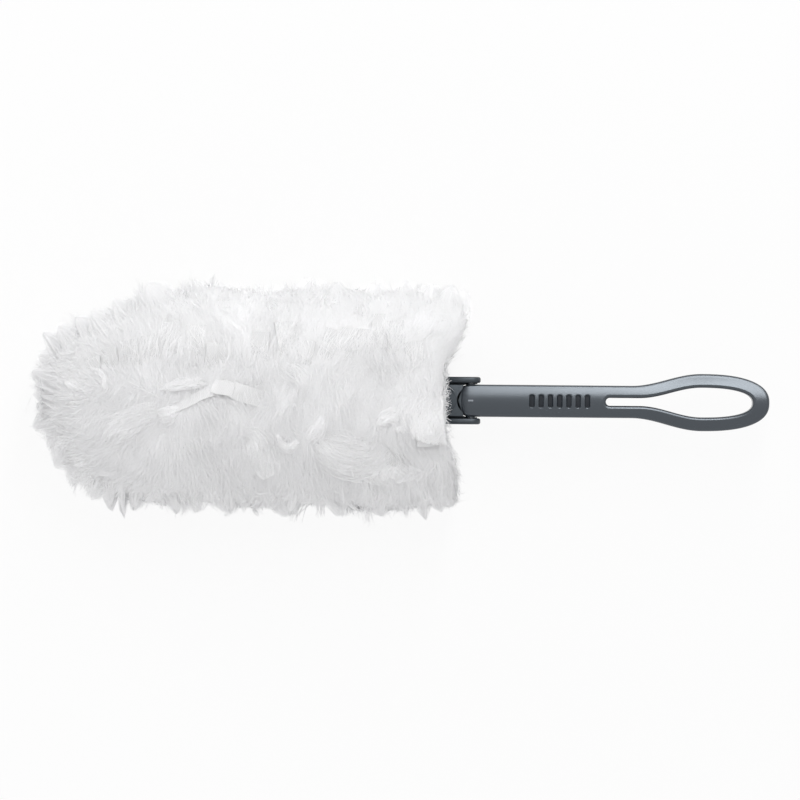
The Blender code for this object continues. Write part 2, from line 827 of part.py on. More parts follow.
def main():
    clear_scene()
    parts = new_collection("hand_duster")
    cutters = new_collection("cutters", hidden=True)
    pin_place = (PIN_X, 0.0, CORE_HEIGHT)
    handle_pivot = body_empty("handle_pivot", pin_place, parts)
    fork_mount = body_empty("fork_mount", pin_place, parts)
    refill_slide = body_empty("refill_slide", pin_place, parts)
    make_handle(handle_pivot, parts, cutters)
    make_fork(fork_mount, parts, cutters)
    make_pin(fork_mount, parts)
    make_refill(refill_slide, parts)


main()
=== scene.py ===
"""Looks of the folding hand duster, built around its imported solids.

World frame: +X runs from the head towards the hanging loop, +Z is the front, the table is Z = 0.
"""

import json
import math

import bmesh
import bpy
import numpy as np
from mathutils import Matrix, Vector


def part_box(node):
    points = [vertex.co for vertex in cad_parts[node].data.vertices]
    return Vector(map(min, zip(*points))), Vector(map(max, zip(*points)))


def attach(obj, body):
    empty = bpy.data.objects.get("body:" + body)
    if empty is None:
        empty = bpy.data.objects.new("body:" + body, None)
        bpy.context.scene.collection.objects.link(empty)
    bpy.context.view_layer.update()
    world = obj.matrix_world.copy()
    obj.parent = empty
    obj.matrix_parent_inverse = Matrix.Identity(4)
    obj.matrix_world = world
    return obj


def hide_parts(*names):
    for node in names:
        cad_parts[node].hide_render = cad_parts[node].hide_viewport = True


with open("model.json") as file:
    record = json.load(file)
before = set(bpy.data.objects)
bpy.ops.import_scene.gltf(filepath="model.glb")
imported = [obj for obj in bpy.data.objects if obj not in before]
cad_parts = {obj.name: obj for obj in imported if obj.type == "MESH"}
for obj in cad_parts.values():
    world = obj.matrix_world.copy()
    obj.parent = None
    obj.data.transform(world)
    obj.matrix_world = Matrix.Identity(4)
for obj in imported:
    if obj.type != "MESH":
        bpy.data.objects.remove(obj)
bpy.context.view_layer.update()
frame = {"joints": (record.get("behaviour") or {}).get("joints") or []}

# Where the duster's parts are, in metres
PIN = np.array(frame["joints"][0]["pos_m"])
CORE_Z = PIN[2]
HEAD_TIP_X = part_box("front_inner_fibres")[0][0]
WELD_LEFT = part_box("front_sheet")[0][0]
WELD_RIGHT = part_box("front_sheet")[1][0]

# Packed fleece: its heights, its cut end and the depth of its rounded nose
HEAD_HALF_WIDTH = 0.0520
FRONT_RISE = 0.0390
BACK_DROP = 0.0345
BACK_EDGE_LEFT = PIN[0] - 0.0042
BACK_EDGE_RIGHT = PIN[0] - 0.0066
NOTCH_EDGE = PIN[0] - 0.0130
NOTCH_HALF = 0.0125
NOTCH_FLARE = 0.0260
NOSE_LENGTH = 0.076
NOSE_STEEPNESS = 2.2
NOSE_BLUNTNESS = 0.58
CUT_RIM_SHARE = 0.915
CUT_ROUNDING = 0.085
CUT_ROUND_LENGTH = 0.0080
FLEECE_TIP_X = HEAD_TIP_X + 0.0060

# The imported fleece's share of the height, and its swells as shares of its reach; loose fibres lie over it
FLEECE_SHARE = 0.945
LUMP_SHARE = 0.030
CLOUD_SHARE = 0.030
TUFT_SHARE = 0.010
RIM_SHARE = 0.045

# Lowest height of each soft piece over the table
LOWEST_FLEECE = 0.0012
LOWEST_FIBRE = 0.0006
LOWEST_STRIP = 0.0007

# How the fibres are combed: a fan round the nose, a slighter one at the handle end, and a parting
NOSE_FAN_LENGTH = 0.075
HANDLE_FAN = 0.20
HANDLE_FAN_LENGTH = 0.015
PARTING = 0.016
ROOT_DEPTH = 0.0008
GOLDEN_STEP = 0.6180339887

# The fleece's plan as seen from the front, in metres: x, half width towards +Y, half width towards -Y
FLEECE_PLAN = np.array([
    (-0.1692, 0.0000, 0.0000),
    (-0.1682, 0.0090, 0.0090),
    (-0.1660, 0.0160, 0.0160),
    (-0.1600, 0.0255, 0.0270),
    (-0.1530, 0.0315, 0.0365),
    (-0.1440, 0.0360, 0.0435),
    (-0.1340, 0.0408, 0.0470),
    (-0.1240, 0.0455, 0.0480),
    (-0.1120, 0.0490, 0.0488),
    (-0.0980, 0.0502, 0.0495),
    (-0.0400, 0.0506, 0.0500),
    (0.0000, 0.0505, 0.0496),
    (0.0300, 0.0500, 0.0484),
])

# Welded sheets: pockets for the prongs and the seams between them
SHEET_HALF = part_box("front_sheet")[1][1]
POCKET_INNER = 0.0023
POCKET_OUTER = 0.0122
POCKET_SLOPE = 0.0006
POCKET_HEIGHT = 0.0016
SEAM_HEIGHT = 0.00015
WELD_DOT_PITCH = 0.0030
WELD_DOT_RISE = 0.00006

# Room for the fork's prongs and the welded sheets, under each half of the fleece
CORE_HOLLOW = 0.0023
CORE_HALF = 0.0180
END_INSET = 0.0008
FORK_HALF_WIDTH = 0.0125
FORK_HALF_HEIGHT = 0.0060


def smooth_step(share):
    share = np.clip(share, 0.0, 1.0)
    return 0.5 - 0.5 * np.cos(np.pi * share)


def unit(vectors):
    return vectors / np.maximum(np.linalg.norm(vectors, axis=-1, keepdims=True), 1e-9)


def noise_grid(seed):
    return np.random.default_rng(seed).uniform(-1, 1, (64, 64))


def smooth_noise(grid, a, b):
    """Soft noise from -1 to 1 at (a, b), one grid cell to each unit."""
    rows, columns = grid.shape
    a, b = np.broadcast_arrays(np.asarray(a, dtype=float), np.asarray(b, dtype=float))
    low_a, low_b = np.floor(a), np.floor(b)
    share_a, share_b = smooth_step(a - low_a), smooth_step(b - low_b)
    row, column = low_a.astype(int) % rows, low_b.astype(int) % columns
    next_row, next_column = (row + 1) % rows, (column + 1) % columns
    near = grid[row, column] * (1 - share_b) + grid[row, next_column] * share_b
    far = grid[next_row, column] * (1 - share_b) + grid[next_row, next_column] * share_b
    return near * (1 - share_a) + far * share_a


LUMPS, TUFTS, SWAY = noise_grid(3), noise_grid(4), noise_grid(5)


def cut_edge(y):
    """Where the fibres are cut off at the handle end, with the notch round the fork."""
    back_edge = np.where(y > 0, BACK_EDGE_LEFT, BACK_EDGE_RIGHT)
    return NOTCH_EDGE + (back_edge - NOTCH_EDGE) * smooth_step((np.abs(y) - NOTCH_HALF) / NOTCH_FLARE)


def fleece_point(along, angle, side):
    """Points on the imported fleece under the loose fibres.

    along runs from 0 at the nose to 1 at the handle end, and angle from 0 at +Y over the seam to pi
    at -Y. side is 1 for the front and -1 for the back.
    """
    rise = FLEECE_SHARE * (FRONT_RISE if side > 0 else BACK_DROP)
    skew = along * 19 + 1.6 * smooth_noise(SWAY, along * 6, angle * 2.5 + 3 * side)
    lump = LUMP_SHARE * smooth_noise(LUMPS, skew * 0.55, angle * 3.0 + 9 * side)
    cloud = CLOUD_SHARE * (0.35 - np.abs(smooth_noise(LUMPS, skew + 7, angle * 4.6 + 5 * side)))
    tuft = TUFT_SHARE * smooth_noise(TUFTS, along * 34, angle * 6.5 + 5 * side)
    over = np.clip(2.2 * np.sin(angle), 0.0, 1.0)
    rim = RIM_SHARE * smooth_noise(TUFTS, along * 15, 3 + 2 * np.cos(angle)) * (1 - over)
    depth = 1.0 + (lump + cloud + tuft) * over + rim
    reach = depth / np.hypot(np.cos(angle) / HEAD_HALF_WIDTH, np.sin(angle) / rise)
    y = reach * np.cos(angle)
    z = reach * np.sin(angle)
    edge = cut_edge(y)
    x = FLEECE_TIP_X + (edge - END_INSET - FLEECE_TIP_X) * along
    left = np.interp(x, FLEECE_PLAN[:, 0], FLEECE_PLAN[:, 1])
    right = np.interp(x, FLEECE_PLAN[:, 0], FLEECE_PLAN[:, 2])
    wide = (right + (left - right) * smooth_step(0.5 + np.cos(angle))) / HEAD_HALF_WIDTH
    from_tip = np.clip((x - FLEECE_TIP_X) / NOSE_LENGTH, 0.0, 1.0)
    tall = (1 - (1 - from_tip) ** NOSE_STEEPNESS) ** NOSE_BLUNTNESS
    to_cut = np.clip((edge - x) / CUT_ROUND_LENGTH, 0, 1)
    cut_round = CUT_RIM_SHARE + CUT_ROUNDING * np.sqrt(1 - (1 - to_cut) ** 2)
    z = np.maximum(CORE_Z + side * z * tall * cut_round, LOWEST_FLEECE)
    return np.stack([x, y * wide * cut_round, z], axis=-1)


def face_angle(x, y, side):
    """The along and angle of the fleece point at (x, y)."""
    along = np.clip((x - FLEECE_TIP_X) / (cut_edge(y) - END_INSET - FLEECE_TIP_X), 0.0, 1.0)
    angle = np.arccos(np.clip(y / HEAD_HALF_WIDTH, -0.95, 0.95))
    for _ in range(5):
        off = fleece_point(along, angle, side)[..., 1] - y
        angle = angle + off / (HEAD_HALF_WIDTH * np.maximum(np.sin(angle), 0.3))
        angle = np.clip(angle, 0.02, np.pi - 0.02)
    return along, angle


def fleece_frame(along, angle, side, away):
    """Point, directions towards the handle and away from the seam, their lengths, and the normal.

    away is -1 where that direction lowers the angle and 1 where it raises it.
    """
    small = 1e-3
    here = fleece_point(along, angle, side)
    ahead = (fleece_point(along + small, angle, side) - here) / small
    outward = (fleece_point(along, angle + away * small, side) - here) / small
    normal = unit(np.cross(ahead, outward))
    middle = np.stack([np.zeros_like(along), np.cos(angle), side * np.sin(angle)], axis=-1)
    normal *= np.sign(np.sum(normal * middle, axis=-1, keepdims=True))
    ahead_length = np.maximum(np.linalg.norm(ahead, axis=-1), 0.02)
    outward_length = np.maximum(np.linalg.norm(outward, axis=-1), 0.008)
    return here, unit(ahead), ahead_length, unit(outward), outward_length, normal


def mesh_object(name, points, faces):
    """A mesh from arrays: points (n, 3), faces (m, 4)."""
    mesh = bpy.data.meshes.new(name)
    mesh.vertices.add(len(points))
    mesh.vertices.foreach_set("co", np.ascontiguousarray(points, dtype=np.float32).ravel())
    corners = faces.shape[1]
    mesh.loops.add(faces.size)
    mesh.loops.foreach_set("vertex_index", faces.astype(np.int32).ravel())
    mesh.polygons.add(len(faces))
    mesh.polygons.foreach_set("loop_start", np.arange(0, faces.size, corners, dtype=np.int32))
    mesh.polygons.foreach_set("loop_total", np.full(len(faces), corners, dtype=np.int32))
    mesh.polygons.foreach_set("use_smooth", np.ones(len(faces), dtype=bool))
    mesh.update(calc_edges=True)
    mesh.validate()
    made = bpy.data.objects.new(name, mesh)
    bpy.context.scene.collection.objects.link(made)
    return made


# Order of a face's corners that turns it over
TURNED_OVER = [0, 3, 2, 1]


def grid_faces(index):
    """Four-sided faces between neighbours in a grid of point numbers."""
    corners = [index[:-1, :-1], index[:-1, 1:], index[1:, 1:], index[1:, :-1]]
    return np.stack(corners, axis=-1).reshape(-1, 4)


# Fibres

# Turns of the combed fibres, in radians: most keep to the comb, and a share of strays turn further
COMBED_TURN = 0.10
STRAY_TURN = 0.45
STRAY_SHARE = 0.35
SEAM_TURN = 0.7
SWAY_TURN = 0.45
SWING_TURN = 0.25
SIDE_SCATTER = 0.32
FIBRE_ROLL = 0.12

# A fibre's loss of width at its tip, how unevenly fibres are cut, and how unlike their widths are
TIP_TAPER = 0.6
RAGGED_CUT = 0.0009
WIDTH_RANGE = (0.7, 1.3)

# Locks: reach along and round the head, height over the fleece, and the share that stands proud
LOCK_ALONG = 0.016
LOCK_ROUND = 0.07
LOCK_LIFT = 0.0003
PROUD_LIFT = 0.0010
PROUD_SHARE = 0.12

# Tufts round the outline: width at the root, share at the nose, and reach of those and of the longest
TUFT_WIDTH = (0.0012, 0.0030)
TUFT_ROOT = 0.0012
NOSE_TUFTS = 0.34
NOSE_REACH = 1.3
LONG_TUFTS = 0.12
LONG_REACH = 1.6


def ribbons(lines, facing, widths):
    """Flat ribbons along lines (n, m, 3), turned to face (n, m or 1, 3), with widths (n, m)."""
    count, stations = lines.shape[:2]
    tangent = unit(np.gradient(lines, axis=1))
    across = unit(np.cross(tangent, facing))
    half = across * widths[..., None] / 2
    points = np.stack([lines - half, lines + half], axis=2).reshape(-1, 3)
    base = (np.arange(count) * stations * 2)[:, None] + np.arange(stations - 1) * 2
    faces = np.stack([base, base + 1, base + 3, base + 2], axis=-1).reshape(-1, 4)
    return points, faces


def own_widths(chance, width, taper):
    """Widths of fibres whose taper (n, m) gives the share of width left along the way."""
    return width * taper * chance.uniform(*WIDTH_RANGE, len(taper))[:, None]


def trimmed(lines, past_edge):
    """Fibres kept over the table and cut off at past_edge (n) beyond the head's cut end."""
    lines[..., 2] = np.maximum(lines[..., 2], LOWEST_FIBRE)
    trim = cut_edge(lines[..., 1]) + past_edge[:, None]
    lines[..., 0] = np.minimum(lines[..., 0], trim)
    return lines


def comb_lean(place):
    """Angle by which fibres lean along X as they run out from the seam: a fan round the nose."""
    to_nose = np.minimum(place[..., 0] - HEAD_TIP_X - NOSE_FAN_LENGTH, 0)
    to_handle = HANDLE_FAN * np.maximum(place[..., 0] - (WELD_RIGHT - HANDLE_FAN_LENGTH), 0)
    return np.arctan2(to_nose + to_handle, np.abs(place[..., 1]) + PARTING)


def combed_fibres(chance, along, angle, side, length, lean, lift, hug, stations, width):
    """Fibres laid over the fleece from their roots, as ribbons.

    lean turns each fibre sideways, lift is its height over the fleece at mid length, and hug runs
    from 0, straight out, to 1, down along the fleece.
    """
    count = len(along)
    step = length / (stations - 1)
    away = np.where(angle + chance.normal(0, SIDE_SCATTER, count) < np.pi / 2, -1.0, 1.0)
    place, ahead, ahead_length, outward, outward_length, normal = fleece_frame(along, angle, side, away)
    own = chance.normal(0, 1, count)
    own = own * np.where(chance.random(count) < STRAY_SHARE, STRAY_TURN, COMBED_TURN)
    by_seam = np.exp(-((place[:, 1] / PARTING) ** 2))
    own = own + SEAM_TURN * smooth_noise(TUFTS, along * 15, angle * 5 + 2) * by_seam
    swing = smooth_noise(SWAY, along * 9 + 7 * side, angle * 3.5)
    line = [place - normal * ROOT_DEPTH]
    facings = [normal]
    heading = None
    for station in range(1, stations):
        sway = SWAY_TURN * smooth_noise(SWAY, along * 13, angle * 6 + 11 * side)
        turned = comb_lean(place) + lean + own + sway
        turned = turned + SWING_TURN * swing * np.sin(3.0 * station / stations)
        over = unit(outward * np.cos(turned)[:, None] + ahead * np.sin(turned)[:, None])
        heading = over if heading is None else unit(heading * (1 - hug)[:, None] + over * hug[:, None])
        place = place + heading * step[:, None]
        along = np.clip(along + step * np.sin(turned) / ahead_length, 0.0, 1.0)
        angle = angle + away * step * np.cos(turned) / outward_length
        held = np.clip(angle, -0.3, np.pi + 0.3)
        here = fleece_frame(along, held, side, away)
        ahead, ahead_length, outward, outward_length, new_normal = here[1:]
        share = station / (stations - 1)
        rise = lift * np.sin(np.pi * min(share * 0.75 + 0.1, 1.0))
        line.append(place + normal * rise[:, None])
        facings.append(new_normal)
    lines = np.stack(line, axis=1)
    facing = np.stack(facings, axis=1)
    tangent = unit(np.gradient(lines, axis=1))
    across = unit(np.cross(tangent, facing))
    share = np.linspace(0, 1, stations)[None, :]
    phase = (5 * swing + chance.normal(0, 0.8, count))[:, None]
    size = chance.uniform(0.1, 0.5, count)[:, None] * 0.001
    lines = lines + across * (np.sin(phase + share * 5.5) * size * share)[..., None]
    lines = trimmed(lines, chance.exponential(RAGGED_CUT, count))
    roll = chance.normal(0, FIBRE_ROLL, count)[:, None, None]
    taper = np.repeat(1 - TIP_TAPER * share**2, count, axis=0)
    return ribbons(lines, facing * np.cos(roll) + across * np.sin(roll), own_widths(chance, width, taper))


def locks(chance, side, count, fibres, length, stations, width):
    """Small locks of fibre spread evenly over one face of the head."""
    lock_along = (np.arange(count) * GOLDEN_STEP) % 1.0
    lock_angle = np.pi * ((np.arange(count) + chance.random(count)) / count)
    pick = np.repeat(np.arange(count), fibres)
    total = len(pick)
    wide = chance.normal(0, 1, total)
    along = np.clip(lock_along[pick] + wide * LOCK_ALONG, 0.0, 1.0)
    angle = np.clip(lock_angle[pick] + chance.normal(0, LOCK_ROUND, total), 0.0, np.pi)
    close = chance.uniform(-0.12, 0.22, count)[pick]
    lean = chance.normal(0, 0.12, count)[pick] - close * wide
    proud = np.where(chance.random(count) < PROUD_SHARE, PROUD_LIFT, 0.0)
    lift = (chance.uniform(0.0, LOCK_LIFT, count) + proud)[pick] + chance.uniform(0, LOCK_LIFT, total)
    hug = np.clip(chance.normal(0.75, 0.15, total), 0.2, 1.0)
    own_length = length * chance.uniform(0.7, 1.15, count)[pick] * chance.uniform(0.7, 1.1, total)
    return combed_fibres(chance, along, angle, side, own_length, lean, lift, hug, stations, width)


def edge_tufts(chance, side, count, fibres, length, stations, width):
    """Ragged tufts round the outline, each drawn to a point and standing out past the fleece.

    Half of the count start at each long edge, and a third of those move to the nose.
    """
    half = count // 2
    inward = np.repeat([1, -1], half)
    lock_along = 1 - np.tile(np.arange(half) / half, 2) ** 0.75 + chance.normal(0, 0.01, count)
    lock_angle = np.repeat([0.0, np.pi], half) + inward * chance.uniform(0.0, 0.50, count)
    at_nose = chance.random(count) < NOSE_TUFTS
    lock_along = np.where(at_nose, chance.uniform(0.0, 0.12, count), lock_along)
    lock_angle = np.where(at_nose, chance.uniform(0.0, np.pi, count), lock_angle)
    pick = np.repeat(np.arange(count), fibres)
    total = len(pick)
    wide = chance.normal(0, 1, total)
    spread = chance.uniform(*TUFT_WIDTH, count)[pick]
    along = np.clip(lock_along[pick], 0.0, 1.0)
    angle = np.clip(lock_angle[pick] + chance.normal(0, 0.08, total), -0.15, np.pi + 0.15)
    away = np.where(angle < np.pi / 2, -1.0, 1.0)
    place, _, _, _, _, normal = fleece_frame(along, angle, side, away)
    out = normal * [1, 1, 0]
    drop = (0.1 + 0.6 * np.abs(np.sin(angle)))[:, None] * np.array([0, 0, -side])
    fan = comb_lean(place)[:, None] * np.array([0.45, 0, 0])
    lock_turn = chance.normal(0, 0.26, (count, 3))[pick]
    heading = unit(unit(out) + drop + fan + lock_turn + chance.normal(0, 0.16, (total, 3)))
    sideways = unit(np.cross(heading, [0.0, 0.0, 1.0]))
    long_one = np.where(chance.random(count) < LONG_TUFTS, LONG_REACH, 1.0)
    long_one = np.where(at_nose, NOSE_REACH, long_one)
    lock_reach = (chance.uniform(0.25, 1.0, count) * long_one)[pick]
    reach = length * lock_reach * chance.uniform(0.4, 1.05, total)
    share = np.linspace(0, 1, stations)[None, :, None]
    lock_bend = chance.normal(0, 0.22, (count, 3))[pick]
    bend = lock_bend[:, None, :] + chance.normal(0, 0.12, (total, 1, 3))
    gather = (1 - 0.8 * share) * (spread * wide)[:, None, None]
    lines = (place - normal * TUFT_ROOT)[:, None, :] + sideways[:, None, :] * gather
    lines = lines + (heading[:, None, :] + bend * share) * share * (reach[:, None, None] + TUFT_ROOT)
    lines = trimmed(lines, chance.normal(0.0002, 0.0004, total))
    facing = unit(np.cross(sideways, heading) + chance.normal(0, 0.3, (total, 3)))
    taper = np.repeat(1 - TIP_TAPER * share[..., 0] ** 2, total, axis=0)
    return ribbons(lines, facing[:, None, :], own_widths(chance, width, taper))


def end_fibres(chance, side, count, length, stations, width):
    """Fibre ends over the cut face at the handle end, running out from the fork."""
    share = np.linspace(0, 1, stations)[None, :]
    angle = chance.uniform(0.02, np.pi - 0.02, count)
    start = np.sqrt(chance.uniform(0.03, 1.0, count))
    angle = angle[:, None] + chance.normal(0, 0.10, count)[:, None] * share
    rim = fleece_point(np.ones_like(angle), angle, side)
    rim_reach = np.hypot(rim[..., 1], rim[..., 2] - CORE_Z)
    reach = start[:, None] + length * chance.uniform(0.6, 1.2, count)[:, None] * share / rim_reach
    reach = np.minimum(reach, 1.0 + chance.uniform(0.0, 0.02, count)[:, None])
    y = rim[..., 1] * reach
    z = CORE_Z + (rim[..., 2] - CORE_Z) * reach
    lift = chance.exponential(0.0007, count)[:, None] * (0.2 + share) - 0.0002
    lines = np.stack([cut_edge(y) - END_INSET + lift, y, np.maximum(z, LOWEST_FIBRE)], axis=-1)
    beside_fork = np.abs(lines[:, 0, 1]) < FORK_HALF_WIDTH
    beside_fork &= np.abs(lines[:, 0, 2] - CORE_Z) < FORK_HALF_HEIGHT
    lines = lines[~beside_fork]
    facing = unit(np.array([1.0, 0, 0]) + chance.normal(0, 0.35, (len(lines), 3)))
    taper = np.repeat(1 - 0.5 * share**2, len(lines), axis=0)
    return ribbons(lines, facing[:, None, :], own_widths(chance, width, taper))


def drawn_tufts(chance, tufts, fibres, width, stations=5):
    """Soft tufts past the outline, each from a root (x, y) to a tip (x, y), in mm, drawn to a point.

    A tuft grows from a patch of the front fleece: spread is its length in mm, and ROOT_ARC its
    reach round the head, in radians.
    """
    made = []
    for root_x, root_y, tip_x, tip_y, spread in tufts:
        along, angle = face_angle(np.array(root_x / 1000), np.array(root_y / 1000), 1)
        patch_along = np.clip(along + chance.normal(0, 0.5, fibres) * spread / 200, 0.0, 1.0)
        patch_angle = np.clip(angle + chance.normal(0, ROOT_ARC, fibres), 0.03, np.pi - 0.03)
        roots = fleece_point(patch_along, patch_angle, 1)
        outward = unit((roots - [0, 0, CORE_Z]) * [0, 1, 1])
        first = fleece_point(along, angle, 1)
        tip = np.array([tip_x / 1000, tip_y / 1000, CORE_Z + chance.uniform(0.000, 0.010)])
        heading = tip - first
        own_reach = chance.uniform(0.6, 1.0, fibres) ** 0.5
        share = np.linspace(0, 1, stations)[None, :, None] * own_reach[:, None, None]
        drawn_in = chance.uniform(0.6, 0.92) * share ** chance.uniform(0.9, 1.8)
        offset = (roots - first - outward * 0.0015)[:, None, :]
        lines = first + heading * share + offset * (1 - drawn_in)
        square = unit(np.cross(heading, [0.0, 0.0, 1.0]))
        lean = chance.normal(0, 0.08) + chance.normal(0, 0.05, fibres)
        bow = lean[:, None, None] * np.sin(np.pi * share)
        lines = lines + square * bow * np.linalg.norm(heading)
        facing = unit(outward + [0, 0, 0.8] + chance.normal(0, 0.30, (fibres, 3)))
        widths = own_widths(chance, width, 1 - 0.5 * share[..., 0])
        made.append(ribbons(lines, facing[:, None, :], widths))
    return joined(*made)


def head_height(x, y, side=1):
    """Height of the fleece's face over the middle plane at (x, y)."""
    return np.abs(fleece_point(*face_angle(x, y, side), side)[..., 2] - CORE_Z)


def on_head(x, y, side=1):
    """Points of the fleece's face at (x, y)."""
    return np.stack([x, y, CORE_Z + side * head_height(x, y, side)], axis=-1)


def head_normal(x, y, side=1):
    small = 0.002
    slope_x = (head_height(x + small, y, side) - head_height(x - small, y, side)) / (2 * small)
    slope_y = (head_height(x, y + small, side) - head_height(x, y - small, side)) / (2 * small)
    return unit(np.stack([-slope_x, -slope_y, np.full_like(slope_x, 1.0)], axis=-1) * [1, 1, side])


def smooth_path(points, shares):
    """Places at shares (n, m), from 0 to 1, along a smooth curve through points (k, 2 or 3)."""
    points = np.asarray(points, dtype=float)
    gaps = np.linalg.norm(np.diff(points, axis=0), axis=1)
    knots = np.concatenate([[0], np.cumsum(gaps)]) / gaps.sum()
    slope = np.gradient(points, knots, axis=0)
    cell = np.clip(np.searchsorted(knots, shares, side="right") - 1, 0, len(knots) - 2)
    span = knots[cell + 1] - knots[cell]
    t = ((shares - knots[cell]) / span)[..., None]
    start_slope, end_slope = slope[cell] * span[..., None], slope[cell + 1] * span[..., None]
    t2, t3 = t * t, t * t * t
    from_start = (2 * t3 - 3 * t2 + 1) * points[cell] + (t3 - 2 * t2 + t) * start_slope
    return from_start + (3 * t2 - 2 * t3) * points[cell + 1] + (t3 - t2) * end_slope


def laid_wisp(chance, points, spread, fibres, lift, fray=0.0, width=0.0002, stations=9):
    """A wisp of loose fibre lying on the front along points (x, y) in mm.

    spread is its width in mm, lift its height in mm over the fleece, or a list of heights along the
    way, and fray above 0 opens its end.
    """
    start = chance.uniform(0.0, 0.30, fibres)
    end = 1 - chance.uniform(0.0, 0.30, fibres) ** 1.5
    share = start[:, None] + (end - start)[:, None] * np.linspace(0, 1, stations)[None, :]
    way = np.array(points) / 1000
    before, after = np.maximum(share - 0.02, 0.0), np.minimum(share + 0.02, 1.0)
    along = unit(smooth_path(way, after) - smooth_path(way, before))
    square = np.stack([-along[..., 1], along[..., 0]], axis=-1)
    opening = 0.55 + 0.45 * np.sin(np.pi * share) + fray * share
    offset = chance.normal(0, spread / 2000, fibres)[:, None] * opening
    wander = chance.uniform(0, 6.3, (2, fibres, 1))
    offset = offset + spread / 3500 * np.sin(5 * share + wander[0])
    offset = offset + 0.0003 * np.sin(13 * share + wander[1])
    path = smooth_path(way, share) + square * offset[..., None]
    x, y = path[..., 0], path[..., 1]
    x = np.minimum(x, cut_edge(y) - chance.uniform(0.0005, 0.0025, fibres)[:, None])
    normal = head_normal(x, y)
    if np.size(lift) == 1:
        lift = (lift + 0.8) * np.array([0.35, 0.75, 0.95, 1.0, 0.95, 0.75, 0.35])
    over = np.interp(share, np.linspace(0, 1, len(lift)), lift) / 1000
    over = over + chance.normal(0, 0.0003, fibres)[:, None]
    lines = on_head(x, y) + normal * over[..., None]
    roll = chance.normal(0, 0.35, fibres)[:, None, None]
    flat = np.concatenate([square, np.zeros_like(share)[..., None]], axis=-1)
    facing = unit(normal * np.cos(roll) + flat * np.sin(roll) + [0, 0.5, 0.2])
    taper = 0.5 + 0.5 * np.sin(np.pi * np.linspace(0.08, 0.92, stations))[None, :]
    return ribbons(lines, facing, own_widths(chance, width, np.repeat(taper, fibres, axis=0)))


# Nonwoven sheets

def slit_strip(points, rolls, wide, side=1, steps=15, across=4, thick=0.00025):
    """One strip of the slit sheet, square cut at its end, as a thin closed body.

    points are (x, y, lift) in mm over the head's face, rolls its turns in degrees along the way, and
    wide its width in mm, which may be a list of widths along the way.
    """
    share = np.linspace(0, 1, steps)
    x, y, lift = smooth_path(np.array(points) / 1000, share).T
    normal = head_normal(x, y, side)
    centre = on_head(x, y, side) + normal * lift[:, None]
    wide = np.interp(share, np.linspace(0, 1, np.size(wide)), np.atleast_1d(wide))[:, None, None]
    heading = unit(np.gradient(centre, axis=0))
    flat = unit(np.cross(normal, heading))
    turn = np.radians(np.interp(share, np.linspace(0, 1, len(rolls)), rolls))[:, None]
    over = unit(flat * np.cos(turn) + np.cross(heading, flat) * np.sin(turn))
    face = unit(np.cross(heading, over))
    place = np.linspace(-0.5, 0.5, across)[None, :, None]
    cup = (0.25 - place**2) * 0.0006
    grid = centre[:, None, :] + over[:, None, :] * place * wide / 1000 + face[:, None, :] * cup
    drape = head_height(grid[..., 0], grid[..., 1], side) - head_height(x, y, side)[:, None]
    grid[..., 2] += side * 0.8 * drape
    half = face[:, None, :] * thick / 2
    return closed_layers(grid + half, grid - half)


def strip_set(side):
    """All strips of one face's slit sheet, which run out of the seam on both sides."""
    chance = np.random.default_rng(60 + side)
    made = []
    for place in range(STRIP_COUNT):
        root = 1000 * WELD_LEFT + STRIP_PITCH * (place + 0.5)
        from_nose = root - 1000 * WELD_LEFT
        for hand in (1, -1):
            shown = SHOWN_STRIPS.get((hand, place)) if side > 0 else None
            if shown:
                made += [slit_strip(*stretch) for stretch in shown]
                continue
            fan = 0.30 * min(from_nose - 40, 0)
            end_x = root + fan + chance.normal(0, 1.5)
            end_y = hand * chance.uniform(24, 33)
            reach = min(1, 0.5 + from_nose / 60)
            points = (
                (root, hand * 1.5, STRIP_ROOT_LIFT),
                (root + 0.2 * fan, hand * 9 * reach, -5.5),
                (root + 0.6 * fan, hand * 18 * reach, -2.2),
                (end_x, end_y * reach, chance.uniform(-1.8, -0.7)),
            )
            rolls = (0, chance.normal(0, 6), chance.normal(0, 10))
            made.append(slit_strip(points, rolls, STRIP_WIDE, side))
    return joined(*made)


def pocket_sheet(side, lengthwise=200, across=72, thick=0.0004):
    """One of the two welded sheets: flat along the seams, raised over the prongs, its edges uneven."""
    x = np.linspace(WELD_LEFT, WELD_RIGHT, lengthwise)[:, None]
    share = np.linspace(-1, 1, across)[None, :]
    y = share * SHEET_HALF
    edge_wave = 0.0003 * smooth_noise(TUFTS, x / 0.004, 7 + 0 * share) * share**8
    inner_slope = smooth_step((np.abs(y) - POCKET_INNER) / POCKET_SLOPE + 0.5)
    outer_slope = smooth_step((POCKET_OUTER - np.abs(y)) / POCKET_SLOPE + 0.5)
    rise = inner_slope * outer_slope
    height = SEAM_HEIGHT + (POCKET_HEIGHT - SEAM_HEIGHT) * rise
    weld_dots = np.cos(2 * np.pi * x / WELD_DOT_PITCH) * np.cos(2 * np.pi * y / WELD_DOT_PITCH)
    height = height + (1 - rise) * WELD_DOT_RISE * (1 + weld_dots)
    x, y, height = np.broadcast_arrays(x, y + edge_wave, height)
    low = np.stack([x, y, CORE_Z + side * height], axis=-1)
    return closed_layers(low + [0, 0, side * thick], low)


